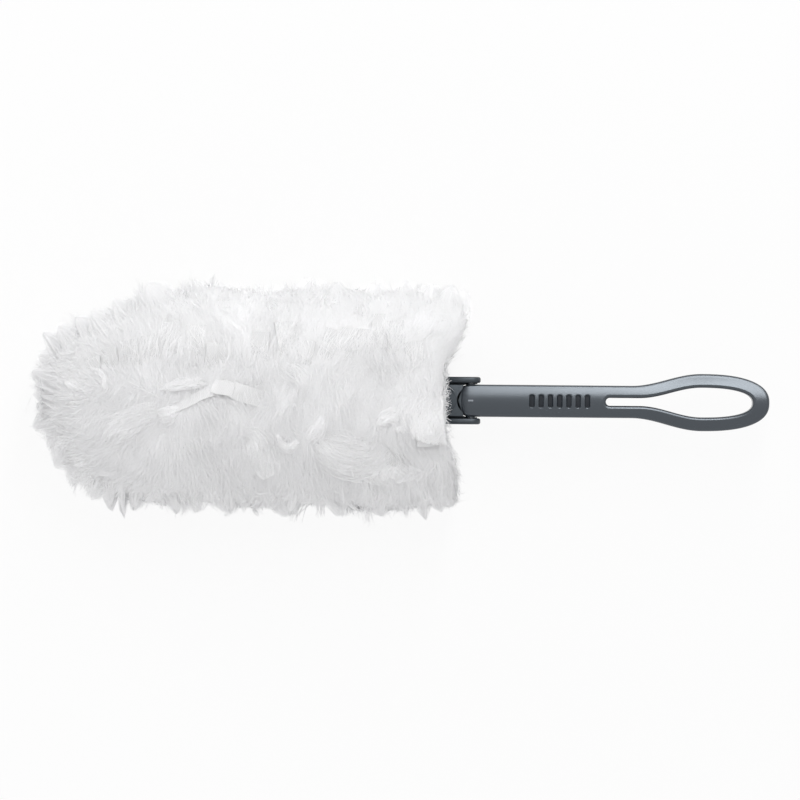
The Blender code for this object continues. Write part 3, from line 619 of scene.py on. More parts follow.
def closed_layers(top, under):
    """A thin body between two grids of points, with its four edges closed."""
    layers = np.stack([top, under])
    layers[..., 2] = np.maximum(layers[..., 2], LOWEST_STRIP)
    top, under = np.arange(layers[..., 0].size).reshape(layers.shape[:3])
    faces = [grid_faces(top)[:, TURNED_OVER], grid_faces(under)]
    for edge in (np.s_[:, 0], np.s_[-1], np.s_[::-1, -1], np.s_[0, ::-1]):
        line, below = top[edge], under[edge]
        faces.append(np.stack([line[:-1], line[1:], below[1:], below[:-1]], axis=-1))
    return layers.reshape(-1, 3), np.concatenate(faces)


def fleece_body(side, lengthwise, around):
    """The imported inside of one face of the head, closed underneath."""
    along = np.linspace(0.0, 1.0, lengthwise)[:, None]
    angle = np.linspace(0.0, np.pi, around)[None, :]
    along, angle = np.broadcast_arrays(along, angle)
    outside = fleece_point(along, angle, side)
    seam, far_seam = outside[:, :1], outside[:, -1:]
    share = np.linspace(0, 1, 12)[None, 1:-1, None]
    under = far_seam * (1 - share) + seam * share
    under[..., 0] = FLEECE_TIP_X + (cut_edge(under[..., 1]) - END_INSET - FLEECE_TIP_X) * along[:, :1]
    hollow = CORE_HOLLOW * smooth_step((CORE_HALF - np.abs(under[..., 1])) / 0.003 + 0.5)
    room = np.abs(outside[:, around // 2, 2] - CORE_Z)[:, None]
    under[..., 2] += side * np.minimum(hollow, 0.8 * room)
    rings = np.concatenate([outside, under, seam], axis=1)
    middle = np.broadcast_to(rings[-1].mean(axis=0), rings[-1].shape)
    inward = np.linspace(0, 1, 14)[1:, None, None]
    end = rings[-1] * (1 - inward) + middle * inward
    end[..., 0] = cut_edge(end[..., 1]) - END_INSET
    rings = np.concatenate([rings, end])
    index = np.arange(rings[..., 0].size).reshape(rings.shape[:2])
    return rings.reshape(-1, 3), grid_faces(index)[:, TURNED_OVER]


def joined(*parts):
    points, faces, base = [], [], 0
    for part_points, part_faces in parts:
        points.append(part_points)
        faces.append(part_faces + base)
        base += len(part_points)
    return np.concatenate(points), np.concatenate(faces)


# Wisps on the front: points and spread in mm, fibres, lift in mm or a list of lifts along the way, fray
FRONT_WISPS = [
    (((-141, -22), (-135, -16.5), (-125, -9.7), (-113, -5.0)), 5.5, 220, 0.9, -0.2),
    (((-141, -18), (-132, -12.5), (-121, -8)), 4.0, 100, 0.8, 0.3),
    (((-58, -16), (-56.6, -20.3), (-53, -22.4), (-48.5, -19)), 1.6, 70, 1.3, 0.2),
    (((-75, -16), (-69.5, -18.8), (-68, -24.4), (-64.5, -34)), 4.0, 270, (0.5, 1.2, 2.0), 0.4),
    (((-67, -27), (-64.3, -31.3), (-62.2, -35.5)), 3.6, 160, (0.8, 1.5, 2.6), 0.5),
    (((-35.7, -7.4), (-38.5, -13), (-44, -20)), 2.6, 90, 1.2, 0.5),
    (
        ((-41, -18.6), (-33, -24), (-23, -27.4), (-13.3, -26.6), (-8.4, -21)),
        6.5, 630, (0.6, 1.4, 2.0, 1.6, 1.0), 0.2,
    ),
    (((-33, -21.3), (-23, -24), (-14.7, -23.9)), 4.5, 240, (0.8, 1.6, 1.2), 0.4),
    (((-11.2, -12), (-6.3, -7.1), (-2.1, -5.7)), 2.4, 80, 1.1, 0.5),
    (((-8.4, -15.5), (-9.8, -11.3), (-6.3, -9.2), (-1.4, -9.9)), 1.6, 60, 1.2, 0.3),
    (((-3.5, -15.4), (-0.7, -13.3), (2.1, -14.7)), 1.6, 40, 1.2, 0.4),
    (((-55.2, 16), (-49, 12.5), (-46, 7.7), (-45.4, 2.2)), 2.6, 90, 0.5, 0.5),
    (((-158.6, 8), (-155, 5.3), (-151, 3.9)), 1.6, 40, 0.8, 0.5),
    (((-147.4, 13.7), (-140.4, 11), (-139, 6.8), (-139.7, 1.3)), 1.2, 34, 0.7, 0.3),
    (((-76.5, 51), (-74.5, 48), (-72.7, 44)), 1.6, 40, 0.9, 0.3),
    (((15.5, 4.0), (15.0, -4), (14.2, -11), (12.5, -19)), 9.5, 560, (0.4, 1.2, 2.2, 3.8), 0.1),
    (((-113.9, 3.6), (-102, 6.4), (-91.5, 8)), 1.8, 80, 1.0, 0.4),
    (((-104, -4), (-109, -7.5), (-114, -9)), 2.8, 90, 1.2, 0.8),
    (((-5.0, -28), (-5.0, -33), (-4.5, -38)), 9.0, 450, (0.6, 1.4, 2.4), 0.3),
]

# How far round the head a tuft's roots reach, in radians
ROOT_ARC = 0.22

# Tufts that stand out past the outline: root x and y, tip x and y, spread, in mm
OUTLINE_TUFTS = [
    (-163.0, 9.0, -176.0, 12.0, 5.0),
    (-160.0, 24.0, -170.8, 31.0, 5.0),
    (-163.5, -9.0, -175.4, -15.0, 5.0),
    (-157.0, -17.0, -167.5, -25.0, 5.5),
    (-164.0, 1.0, -174.5, 1.5, 5.0),
    (-163.5, 5.0, -174.0, 6.0, 5.0),
    (-164.5, -4.0, -173.5, -5.5, 6.0),
    (-160.0, 17.0, -173.0, 20.5, 5.0),
    (-155.0, 27.0, -164.0, 34.5, 4.5),
    (-147.0, 31.0, -155.5, 38.0, 5.0),
    (-139.0, 34.5, -148.0, 41.5, 5.0),
    (-128.0, 40.0, -137.5, 47.0, 5.0),
    (-113.0, 44.5, -121.5, 55.0, 7.0),
    (-117.0, 43.0, -127.0, 51.5, 6.0),
    (-94.0, 47.0, -99.5, 56.5, 7.0),
    (-100.0, 47.0, -106.0, 53.5, 6.0),
    (-82.0, 48.0, -85.0, 54.5, 6.0),
    (-44.5, 48.0, -45.0, 58.0, 9.0),
    (-30.0, 48.0, -31.5, 56.0, 9.0),
    (-12.0, 48.0, -13.0, 55.5, 10.0),
    (2.0, 48.0, 1.0, 57.0, 6.0),
    (14.0, 47.0, 14.5, 55.5, 9.0),
    (20.0, 45.0, 24.0, 55.0, 8.0),
    (23.0, 41.0, 29.5, 51.5, 8.0),
    (-157.0, -24.0, -165.0, -33.0, 5.5),
    (-149.0, -33.0, -157.5, -41.0, 5.5),
    (-141.0, -40.0, -147.5, -48.5, 5.0),
    (-136.0, -44.0, -138.0, -54.0, 4.5),
    (-131.5, -46.0, -131.2, -57.5, 1.3),
    (-126.0, -46.0, -127.0, -54.0, 5.0),
    (-111.0, -47.0, -106.5, -55.0, 4.0),
    (-100.0, -47.5, -97.0, -54.5, 6.0),
    (-84.0, -48.0, -82.0, -55.0, 8.0),
    (-60.0, -48.0, -54.5, -56.5, 4.5),
    (-50.0, -48.0, -53.0, -56.0, 3.5),
    (-30.0, -48.0, -29.0, -56.0, 7.0),
    (-12.0, -48.0, -9.0, -55.5, 7.0),
    (8.0, -47.5, 12.0, -57.0, 3.0),
    (17.0, -46.0, 19.0, -53.0, 6.0),
]


# The slit sheet's strips, in mm, and how far under the head's face they start
STRIP_COUNT = 17
STRIP_PITCH = 9.6
STRIP_WIDE = 9.3
STRIP_ROOT_LIFT = -0.64 * 1000 * FRONT_RISE


def row_strip(root, end_x, end_y, lift, wide=STRIP_WIDE, roll=0.0):
    """A strip whose square end lies on the fluff, as one stretch of points, rolls and width."""
    middle = 0.55 * root + 0.45 * end_x
    hand = 1 if end_y > 0 else -1
    points = (
        (root, hand * 1.5, -26),
        (root, hand * 10, -5),
        (middle, hand * 0.66 * abs(end_y), 0.3),
        (end_x, end_y, 0.6 * lift + 0.7),
    )
    return [(points, (0, 0, roll * 0.4, roll * 0.6), wide)]


# The strip that has come loose: two folded stretches that lie flat, and a frayed tail
LOOSE_STRIP = [
    (
        ((-63.0, -2.2, -6), (-66.5, 0.2, 0.7), (-73.5, 2.4, 1.2), (-80.5, 4.4, 0.8)),
        (0, 2, 3, 3),
        (6.5, 8.0, 8.2, 8.0),
    ),
    (((-78.6, 4.0, 1.4), (-82.5, 4.8, 1.7), (-88.4, 5.4, 1.6)), (6, 7, 6), (6.8, 7.0, 6.6)),
    (
        ((-85.5, 4.6, 0.8), (-92, 2.2, 1.0), (-99, -1.4, 0.9), (-109.5, -6.8, 0.5)),
        (4, 4, 6, 8),
        (6.2, 4.6, 4.4, 2.2),
    ),
]
LOOSE_STRIP_MIDDLE = -0.0865
LOOSE_STRIP_HALF_LENGTH = 0.0235
LOOSE_STRIP_HALF_WIDTH = 0.0105
LOOSE_STRIP_DEPTH = 0.0015

# Two strips whose ends stand up at the notch, beside the fork
RISEN_STRIP = (
    ((9.6, -1.0, -20), (11.5, -2.5, 0.2), (12.8, -10, 1.6), (12.0, -20.5, 3.6)),
    (0, 0, 2, 3),
    10.5,
)
NEXT_STRIP = (
    ((-1.2, -1.5, -26), (-1.2, -12, -5), (-2.5, -24, 0.2), (-3.6, -37.5, 1.9)),
    (0, 0, -4, -6),
    9.4,
)

# Strips that show on the front, by side of the seam and place from the nose
SHOWN_STRIPS = {
    (1, 0): row_strip(-145.2, -146.0, 19.0, 0.2, 8.6, 4),
    (1, 1): row_strip(-135.6, -138.5, 23.0, 0.4, 9.0, -5),
    (1, 2): row_strip(-126.0, -129.0, 26.5, 0.5, 9.2, 6),
    (1, 3): row_strip(-116.4, -119.5, 29.0, 0.6, 9.2, -5),
    (1, 4): row_strip(-106.8, -109.4, 34.9, 1.3, 9.8, 3),
    (1, 5): row_strip(-97.2, -97.1, 33.6, 1.3, 9.6, -3),
    (1, 6): row_strip(-87.6, -87.4, 25.3, 1.0, 9.0, 6),
    (1, 7): LOOSE_STRIP,
    (1, 8): row_strip(-68.4, -66.4, 31.1, 1.2, 8.8, -8),
    (1, 9): row_strip(-51.0, -55.5, 35.6, 1.2, 10.4, -2),
    (1, 10): row_strip(-49.2, -44.5, 27.0, 0.6, 9.0, -10),
    (1, 11): row_strip(-39.6, -31.9, 32.1, 1.2, 8.2, 4),
    (1, 12): row_strip(-30.0, -24.9, 32.8, 1.4, 8.4, -3),
    (1, 13): row_strip(-20.4, -17.6, 32.5, 1.2, 8.2, 3),
    (1, 14): row_strip(-10.8, -10.9, 39.2, 1.7, 7.2, -4),
    (1, 15): row_strip(-1.2, -3.9, 36.5, 1.4, 9.0, 5),
    (1, 16): row_strip(7.4, 5.0, 27.0, 0.8, 8.6, -6),
    (-1, 16): [RISEN_STRIP],
    (-1, 15): [NEXT_STRIP],
}


# Handle

STRAP_HALF = 0.0077
HALF_THICKNESS = 0.0042
CROWN_RADIUS = 0.024
TOP_EDGE_RADIUS = 0.0015
BACK_EDGE_RADIUS = 0.0008
HANDLE_REACH = 0.1423
LOOP_HALF = 0.01365
LOOP_INNER_HALF = 0.00705
LOOP_END_BAND = 0.0079
LOOP_WIDEST = 0.1103
SLOT_HALF = 0.00185
SLOT_START = 0.0644
SLOT_FLARE_START = 0.0803
RIM_FLARE_START = 0.0765
RIM_END_POWER = 2.45
SLOT_END_POWER = 2.4
GRIP_MIDDLE = 0.0424
GRIP_PITCH = 0.0044
GRIP_COUNT = 7
GRIP_WIDTH = 0.0022
GRIP_LENGTH = 0.0060
GRIP_DEPTH = 0.0007
GRIP_CORNER = 0.0007
GRIP_WALL = 0.0005
CORNER_STEPS = 5
ACROSS_STEPS = 22
NOSE_FULLNESS = 0.70
SMALL_EDGE = 0.00012

# Round bosses on the nose's sides: radius and place along the pin, and where their faces stand
BOSS_PROFILE = ((0.0, 0.0), (0.0021, 0.0), (0.0023, -0.0002), (0.0023, -0.0016))
BOSS_FACE = 0.00825

# The pale dash on the nose: a small raised plate whose pale colour is a painted highlight
MARK_OUTLINE = ((-0.0012, -0.0004), (0.0012, -0.0004), (0.0012, 0.0004), (-0.0012, 0.0004))
MARK_BASE = 0.0039
MARK_TOP = 0.00445


def grip_depth(x, y):
    """Depth of the thumb grip's grooves at (x, y) from the pin."""
    place = (x - GRIP_MIDDLE) / GRIP_PITCH
    nearest = np.clip(np.round(place), -(GRIP_COUNT // 2), GRIP_COUNT // 2)
    beyond_x = np.abs(place - nearest) * GRIP_PITCH - GRIP_WIDTH / 2 + GRIP_CORNER
    beyond_y = np.abs(y) - GRIP_LENGTH / 2 + GRIP_CORNER
    past_corner = np.hypot(np.maximum(beyond_x, 0), np.maximum(beyond_y, 0))
    outside = past_corner + np.minimum(np.maximum(beyond_x, beyond_y), 0)
    return GRIP_DEPTH * smooth_step(0.5 - (outside - GRIP_CORNER) / GRIP_WALL)


def corner_arc(edge, outward, radius, centre_z, start):
    """Points round a long edge, from the angle start through a quarter turn."""
    angle = start - np.pi / 2 * np.linspace(0, 1, CORNER_STEPS + 1)
    plan = edge - outward * radius + outward * (radius * np.cos(angle))[:, None]
    return np.column_stack([plan, centre_z + radius * np.sin(angle)])


def strap_arch(y):
    return HALF_THICKNESS - y * y / (2 * CROWN_RADIUS)


def handle_section(inner, inner_out, outer, outer_out):
    """Points over the front, rim and back, and points round the slot's edge, which may be none."""
    split = inner_out is not None
    start = inner - inner_out * TOP_EDGE_RADIUS if split else inner
    finish = outer - outer_out * TOP_EDGE_RADIUS
    plan = start + (finish - start) * np.linspace(0, 1, ACROSS_STEPS, endpoint=False)[:, None]
    front = np.column_stack([plan, strap_arch(plan[:, 1]) - grip_depth(plan[:, 0], plan[:, 1])])
    rim_z = strap_arch(finish[1]) - TOP_EDGE_RADIUS
    back_z = -HALF_THICKNESS + BACK_EDGE_RADIUS
    rim_top = corner_arc(outer, outer_out, TOP_EDGE_RADIUS, rim_z, np.pi / 2)
    rim_back = corner_arc(outer, outer_out, BACK_EDGE_RADIUS, back_z, 0.0)
    back_inner = inner - inner_out * BACK_EDGE_RADIUS if split else inner
    along = np.vstack([front, rim_top, rim_back, [[*back_inner, -HALF_THICKNESS]]])
    if not split:
        return along, None
    slot_z = strap_arch(start[1]) - TOP_EDGE_RADIUS
    slot_back = corner_arc(inner, inner_out, BACK_EDGE_RADIUS, back_z, 0.0)
    slot_top = corner_arc(inner, inner_out, TOP_EDGE_RADIUS, slot_z, np.pi / 2)
    return along, np.vstack([slot_back[::-1], slot_top[::-1]])


def flared(x, start, narrow, wide):
    return narrow + (wide - narrow) * smooth_step((x - start) / (LOOP_WIDEST - start))


def end_curve(share, reach, half, power):
    turn = share * np.pi / 2
    x = LOOP_WIDEST + (reach - LOOP_WIDEST) * np.sin(turn) ** (2 / power)
    return np.array([x, half * max(np.cos(turn), 0.0) ** (2 / power)])


def handle_stations():
    """(inner point, outer point, split) along the +Y half of the handle, from the pin to the far end."""
    slot_centre = SLOT_START + SLOT_HALF
    grip_start = GRIP_MIDDLE - (GRIP_COUNT / 2) * GRIP_PITCH
    grip_end = GRIP_MIDDLE + (GRIP_COUNT / 2) * GRIP_PITCH
    strap = np.concatenate([
        np.linspace(0, grip_start, 10, endpoint=False),
        np.linspace(grip_start, grip_end, 110, endpoint=False),
        np.linspace(grip_end, SLOT_START - 2 * TOP_EDGE_RADIUS, 4),
    ])
    stations = [(np.array([x, 0.0]), np.array([x, STRAP_HALF]), False) for x in strap]
    arc_steps = 9
    for step in range(arc_steps):
        angle = np.pi - np.pi / 2 * step / arc_steps
        inner_y = SLOT_HALF * np.sin(angle) if step else 0.0
        inner = np.array([slot_centre + SLOT_HALF * np.cos(angle), inner_y])
        x = SLOT_START - TOP_EDGE_RADIUS + (slot_centre - SLOT_START + TOP_EDGE_RADIUS) * step / arc_steps
        stations.append((inner, np.array([x, STRAP_HALF]), True))
    for x in np.linspace(slot_centre, LOOP_WIDEST, 44, endpoint=False):
        inner = np.array([x, flared(x, SLOT_FLARE_START, SLOT_HALF, LOOP_INNER_HALF)])
        stations.append((inner, np.array([x, flared(x, RIM_FLARE_START, STRAP_HALF, LOOP_HALF)]), True))
    for share in np.linspace(0, 1, 45):
        inner = end_curve(share, HANDLE_REACH - LOOP_END_BAND, LOOP_INNER_HALF, SLOT_END_POWER)
        outer = end_curve(share, HANDLE_REACH, LOOP_HALF, RIM_END_POWER)
        if share == 1:
            inner[1] = outer[1] = 0.0
        stations.append((inner, outer, True))
    return stations


def plan_normals(points, first, last, left):
    """Unit normals along a run of plan points, square to it and away from the material."""
    along = np.empty_like(points)
    along[1:-1] = points[2:] - points[:-2]
    along[0], along[-1] = points[1] - points[0], points[-1] - points[-2]
    normals = unit(np.stack([-along[:, 1], along[:, 0]], axis=-1) * (1 if left else -1))
    normals[0], normals[-1] = first, last
    return normals


def build_handle():
    stations = handle_stations()
    first_split = next(place for place, station in enumerate(stations) if station[2])
    inners = np.array([inner for inner, _, split in stations if split])
    outers = np.array([outer for _, outer, _ in stations])
    slot_out = plan_normals(inners, (1, 0), (-1, 0), left=False)
    rim_out = plan_normals(outers, (0, 1), (1, 0), left=True)
    sections = []
    for place, (inner, outer, split) in enumerate(stations):
        inner_out = slot_out[place - first_split] if split else None
        sections.append(handle_section(inner, inner_out, outer, rim_out[place]))
    start = sections[0][0]
    rings = [np.tile([[-STRAP_HALF, 0.0, 0.0]], (len(start), 1))]
    for turn in np.pi / 2 * np.linspace(0, 1, 26)[1:-1] ** 1.3:
        rounding = [0, np.sin(turn), np.sin(turn) ** NOSE_FULLNESS]
        rings.append(start * rounding - [STRAP_HALF * np.cos(turn), 0, 0])
    rings += [along for along, _ in sections]
    slots = [slot for _, slot in sections if slot is not None]
    points = np.concatenate([*rings, *slots])
    ring_index = np.arange(len(rings) * len(start)).reshape(len(rings), -1)
    slot_index = ring_index.size + np.arange(len(slots) * len(slots[0])).reshape(len(slots), -1)
    faces = np.concatenate([grid_faces(ring_index), grid_faces(slot_index)])
    faces = np.concatenate([faces, faces[:, ::-1] + len(points)])
    points = np.concatenate([points, points * [1, -1, 1]])
    finishes = [handle_grey, grip_inlay]
    handle = rigid_piece("grip_handle", (points, faces), "handle", finishes, "handle")
    for face in handle.data.polygons:
        x, y, _ = face.center - Vector(PIN)
        if face.normal.z > 0.5 and grip_depth(x, y) > 0.8 * GRIP_DEPTH:
            face.material_index = 1
    bosses = joined(*[lathe(BOSS_PROFILE, (0, hand * BOSS_FACE, 0), (0, hand, 0)) for hand in (1, -1)])
    rigid_piece("handle_bosses", bosses, "handle", [handle_grey])
    mark = rounded_plate(MARK_OUTLINE, MARK_BASE, MARK_TOP, SMALL_EDGE)
    # Painted highlight: the raised dash on the nose is coloured pale where light glints on it
    rigid_piece("nose_dash_highlight", mark, "handle", [mark_grey])


def weld(piece):
    mesh = bmesh.new()
    mesh.from_mesh(piece.data)
    bmesh.ops.remove_doubles(mesh, verts=mesh.verts, dist=2e-6)
    bmesh.ops.dissolve_degenerate(mesh, edges=mesh.edges, dist=1e-6)
    bmesh.ops.recalc_face_normals(mesh, faces=mesh.faces)
    mesh.to_mesh(piece.data)
    mesh.free()
    piece.data.set_sharp_from_angle(angle=math.radians(38))


def rigid_piece(name, shape, body, finishes, node=None):
    """A welded piece from its points, measured from the pin, and its faces."""
    points, faces = shape
    piece = mesh_object(name, points + PIN, faces)
    weld(piece)
    for finish in finishes:
        piece.data.materials.append(finish)
    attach(piece, body)
    if node:
        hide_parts(node)
    return piece


def lathe(profile, centre, axis, sides=40):
    """A round body: profile is (radius, place along the axis), turned about axis at centre from the pin."""
    profile = np.array(profile)
    axis = np.array(axis, dtype=float)
    helper = np.array([1.0, 0, 0]) if abs(axis[0]) < 0.9 else np.array([0, 0, 1.0])
    first = unit(np.cross(axis, helper))
    second = np.cross(axis, first)
    turn = np.linspace(0, 2 * np.pi, sides + 1)
    round_way = np.cos(turn)[:, None] * first + np.sin(turn)[:, None] * second
    points = profile[:, None, :1] * round_way[None] + profile[:, None, 1:] * axis
    index = np.arange(len(profile) * (sides + 1)).reshape(len(profile), sides + 1)
    return points.reshape(-1, 3) + np.array(centre), grid_faces(index)


def rounded_plate(outline, low, high, edge, upright=False):
    """A flat plate from an outline, its rims rounded by edge. upright stands it in X and Z instead."""
    outline = np.array(outline, dtype=float)
    x, y = outline.T
    if np.sum(x * np.roll(y, -1) - np.roll(x, -1) * y) < 0:
        outline = outline[::-1]
    before = outline - np.roll(outline, 1, axis=0)
    after = np.roll(outline, -1, axis=0) - outline
    out_before = unit(np.stack([before[:, 1], -before[:, 0]], axis=-1))
    out_after = unit(np.stack([after[:, 1], -after[:, 0]], axis=-1))
    middle = out_before + out_after
    push = middle / np.maximum(np.sum(middle * out_after, axis=-1, keepdims=True), 0.3)
    levels = []
    for angle in np.radians((90, 60, 30, 0)):
        levels.append((edge * (1 - np.cos(angle)), low + edge * (1 - np.sin(angle))))
    levels += [(inset, high + low - level) for inset, level in levels[::-1]]
    count = len(outline)
    rings = [np.column_stack([outline - push * inset, np.full(count, level)]) for inset, level in levels]
    centre = outline.mean(axis=0)
    shut = [np.tile([[*centre, low]], (count, 1)), np.tile([[*centre, high]], (count, 1))]
    rings = [shut[0], *rings, shut[1]]
    points = np.concatenate([np.vstack([ring, ring[:1]]) for ring in rings])
    index = np.arange(len(rings) * (count + 1)).reshape(len(rings), count + 1)
    if upright:
        points = points[:, [0, 2, 1]] * [1, -1, 1]
    return points, grid_faces(index)


# Fork and pin

EAR_INNER = 0.0084
EAR_OUTER = 0.0113
EAR_RADIUS = 0.0048
BLOCK_LENGTH = 0.0187
BLOCK_TAPER = 0.0040
EAR_SLOT_END = -0.0110
SOCKET_RADIUS = 0.0082
LIP_BASE = 0.0037
LIP_STEP = 0.0044
STEP_RADIUS = 0.0064
SWING_GAP = 0.0003
PRONG_REACH = 0.1677
PRONG_INNER = 0.0026
PRONG_OUTER = 0.0111
PRONG_HALF_THICKNESS = 0.0013
PRONG_ROOT = 0.003
BLOCK_BACK = -BLOCK_LENGTH + BLOCK_TAPER
BLOCK_END_HALF = 0.0020
LEDGE_LOW = -0.0046
LEDGE_HIGH = -0.0032
LEDGE_END = 0.0033
LEDGE_GAP = 0.0002
NUB_RADIUS = 0.0016
NUB_PROUD = 0.0008
NUB_HALF_THICKNESS = 0.00104
NUBS_FROM_TIP = (0.018, 0.090)
PIN_RADIUS = 0.0012
PIN_CHAMFER = 0.0003
PIN_SUNK = 0.0003

# How far the parts of the moulding run into each other
OVERLAP = 0.0002


def arc(centre, radius, start, end, steps):
    angle = np.linspace(start, end, steps + 1)
    return [(centre[0] + radius * math.cos(a), centre[1] + radius * math.sin(a)) for a in angle]


def socket_edge(y):
    """Front edge of the block's socket, in which the nose turns."""
    return -math.sqrt(max(SOCKET_RADIUS**2 - y * y, 0.0))


def lip_edge(y):
    """Front edge of the lip, which clears the strap's crown when the head is folded."""
    return -strap_arch(y) - SWING_GAP


def step_edge(y):
    """Front edge of the lip's step, cut back round the pin."""
    return min(lip_edge(y), -math.sqrt(max(STEP_RADIUS**2 - y * y, 0.0)))


def block_outline(front_at):
    """Plan of a slice of the fork's block, whose front edge is at x = front_at(y)."""
    half = EAR_INNER + OVERLAP
    horn = STRAP_HALF - SWING_GAP
    side = [(BLOCK_BACK, half), (EAR_SLOT_END, half), (EAR_SLOT_END, horn)]
    front = [(front_at(y), y) for y in np.linspace(horn, -horn, 41)]
    return [*side, *front, *[(x, -y) for x, y in reversed(side)]]


def build_fork():
    end = [(-BLOCK_LENGTH, BLOCK_END_HALF), (-BLOCK_LENGTH, -BLOCK_END_HALF)]
    ear = arc((0, 0), EAR_RADIUS, -math.pi / 2, math.pi / 2, 32)
    ear += [(BLOCK_BACK, EAR_RADIUS), *end, (BLOCK_BACK, -EAR_RADIUS)]
    ledge_root = EAR_SLOT_END - 2 * OVERLAP
    prong_half = (PRONG_OUTER - PRONG_INNER) / 2
    prong_root = -BLOCK_LENGTH + PRONG_ROOT
    parts = []
    for hand in (1, -1):
        low, high = sorted((hand * -EAR_INNER, hand * -EAR_OUTER))
        parts.append(rounded_plate(ear, low, high, edge=0.0010, upright=True))
        near, far = hand * (STRAP_HALF + LEDGE_GAP), hand * (EAR_INNER + 2 * OVERLAP)
        inside = near - hand * 0.0010
        ledge = [(ledge_root, inside), (-0.0045, inside), (-0.0025, near - hand * 0.00035), (0.0, near)]
        ledge += [(LEDGE_END, near), (LEDGE_END, far), (ledge_root, far)]
        parts.append(rounded_plate(ledge, LEDGE_LOW, LEDGE_HIGH, SMALL_EDGE))
        middle = hand * (PRONG_INNER + PRONG_OUTER) / 2
        prong = arc((-PRONG_REACH + prong_half, middle), prong_half, math.pi / 2, 3 * math.pi / 2, 20)
        prong += [(prong_root, middle - prong_half), (prong_root, middle + prong_half)]
        parts.append(rounded_plate(prong, -PRONG_HALF_THICKNESS, PRONG_HALF_THICKNESS, edge=0.0005))
        for from_tip in NUBS_FROM_TIP:
            centre = (-PRONG_REACH + from_tip, hand * (PRONG_OUTER + NUB_PROUD - NUB_RADIUS))
            nub = arc(centre, NUB_RADIUS, 0, 2 * math.pi, 24)[:-1]
            parts.append(rounded_plate(nub, -NUB_HALF_THICKNESS, NUB_HALF_THICKNESS, edge=0.0003))
    slices = (
        (socket_edge, -EAR_RADIUS, LIP_BASE),
        (lip_edge, LIP_BASE - OVERLAP, LIP_STEP),
        (step_edge, LIP_STEP - OVERLAP, EAR_RADIUS),
    )
    for front_at, low, high in slices:
        parts.append(rounded_plate(block_outline(front_at), low, high, SMALL_EDGE))
    wedge = [(BLOCK_BACK + OVERLAP, EAR_RADIUS), *end, (BLOCK_BACK + OVERLAP, -EAR_RADIUS)]
    wedge_half = EAR_INNER + OVERLAP
    parts.append(rounded_plate(wedge, -wedge_half, wedge_half, edge=0.0002, upright=True))
    rigid_piece("carrier_fork", joined(*parts), "fork", [fork_charcoal], "fork")
    tip = EAR_OUTER - PIN_SUNK
    half_pin = [(0, tip), (PIN_RADIUS - PIN_CHAMFER, tip), (PIN_RADIUS, tip - PIN_CHAMFER)]
    profile = [(radius, -place) for radius, place in half_pin] + half_pin[::-1]
    pin = lathe(profile, (0, 0, 0), (0, 1, 0))
    rigid_piece("steel_pin", pin, "fork", [pin_steel], "pivot_pin")


# Materials


COLOUR, VALUE, NORMAL = "NodeSocketColor", "NodeSocketFloat", "NodeSocketVector"


def add_node(tree, kind, values=None, **settings):
    made = tree.nodes.new(kind)
    for name, value in settings.items():
        setattr(made, name, value)
    for socket, value in (values or {}).items():
        made.inputs[socket].default_value = value
    return made


def effect_group(name):
    """An empty effect that takes a colour and a roughness and gives both back with a normal."""
    group = bpy.data.node_groups.new(name, "ShaderNodeTree")
    for socket, kind in (("Color", COLOUR), ("Roughness", VALUE)):
        group.interface.new_socket(socket, in_out="INPUT", socket_type=kind)
    for socket, kind in (("Color", COLOUR), ("Roughness", VALUE), ("Normal", NORMAL)):
        group.interface.new_socket(socket, in_out="OUTPUT", socket_type=kind)
    return group


def noise_at(group, scale, detail, stretch=(1, 1, 1)):
    """Noise in the object's own metres, drawn out by stretch."""
    place = add_node(group, "ShaderNodeTexCoord")
    drawn = add_node(group, "ShaderNodeMapping", {"Scale": stretch})
    noise = add_node(group, "ShaderNodeTexNoise", {"Scale": scale, "Detail": detail})
    group.links.new(place.outputs["Object"], drawn.inputs["Vector"])
    group.links.new(drawn.outputs["Vector"], noise.inputs["Vector"])
    return noise.outputs["Fac"]


def spread_to(group, source, low, high, given_low=0.3, given_high=0.7):
    made = add_node(
        group,
        "ShaderNodeMapRange",
        {"From Min": given_low, "From Max": given_high, "To Min": low, "To Max": high},
    )
    group.links.new(source, made.inputs["Value"])
    return made.outputs["Result"]


def calculated(tree, operation, first, second, clamped=False):
    made = add_node(tree, "ShaderNodeMath", operation=operation, use_clamp=clamped)
    tree.links.new(first, made.inputs[0])
    tree.links.new(second, made.inputs[1])
    return made.outputs[0]


def toned(group, colour, tone):
    made = add_node(group, "ShaderNodeVectorMath", operation="SCALE")
    group.links.new(colour, made.inputs[0])
    group.links.new(tone, made.inputs["Scale"])
    return made.outputs[0]


def raised(group, height, distance, strength):
    made = add_node(group, "ShaderNodeBump", {"Strength": strength, "Distance": distance})
    group.links.new(height, made.inputs["Height"])
    return made.outputs["Normal"]


def give_back(group, tone, rough, normal):
    """Give back the colour scaled by tone, the roughness with rough added to it, and the normal."""
    given = group.nodes.new("NodeGroupInput").outputs
    gives = group.nodes.new("NodeGroupOutput").inputs
    group.links.new(toned(group, given["Color"], tone), gives["Color"])
    group.links.new(calculated(group, "ADD", given["Roughness"], rough), gives["Roughness"])
    group.links.new(normal, gives["Normal"])
    return group


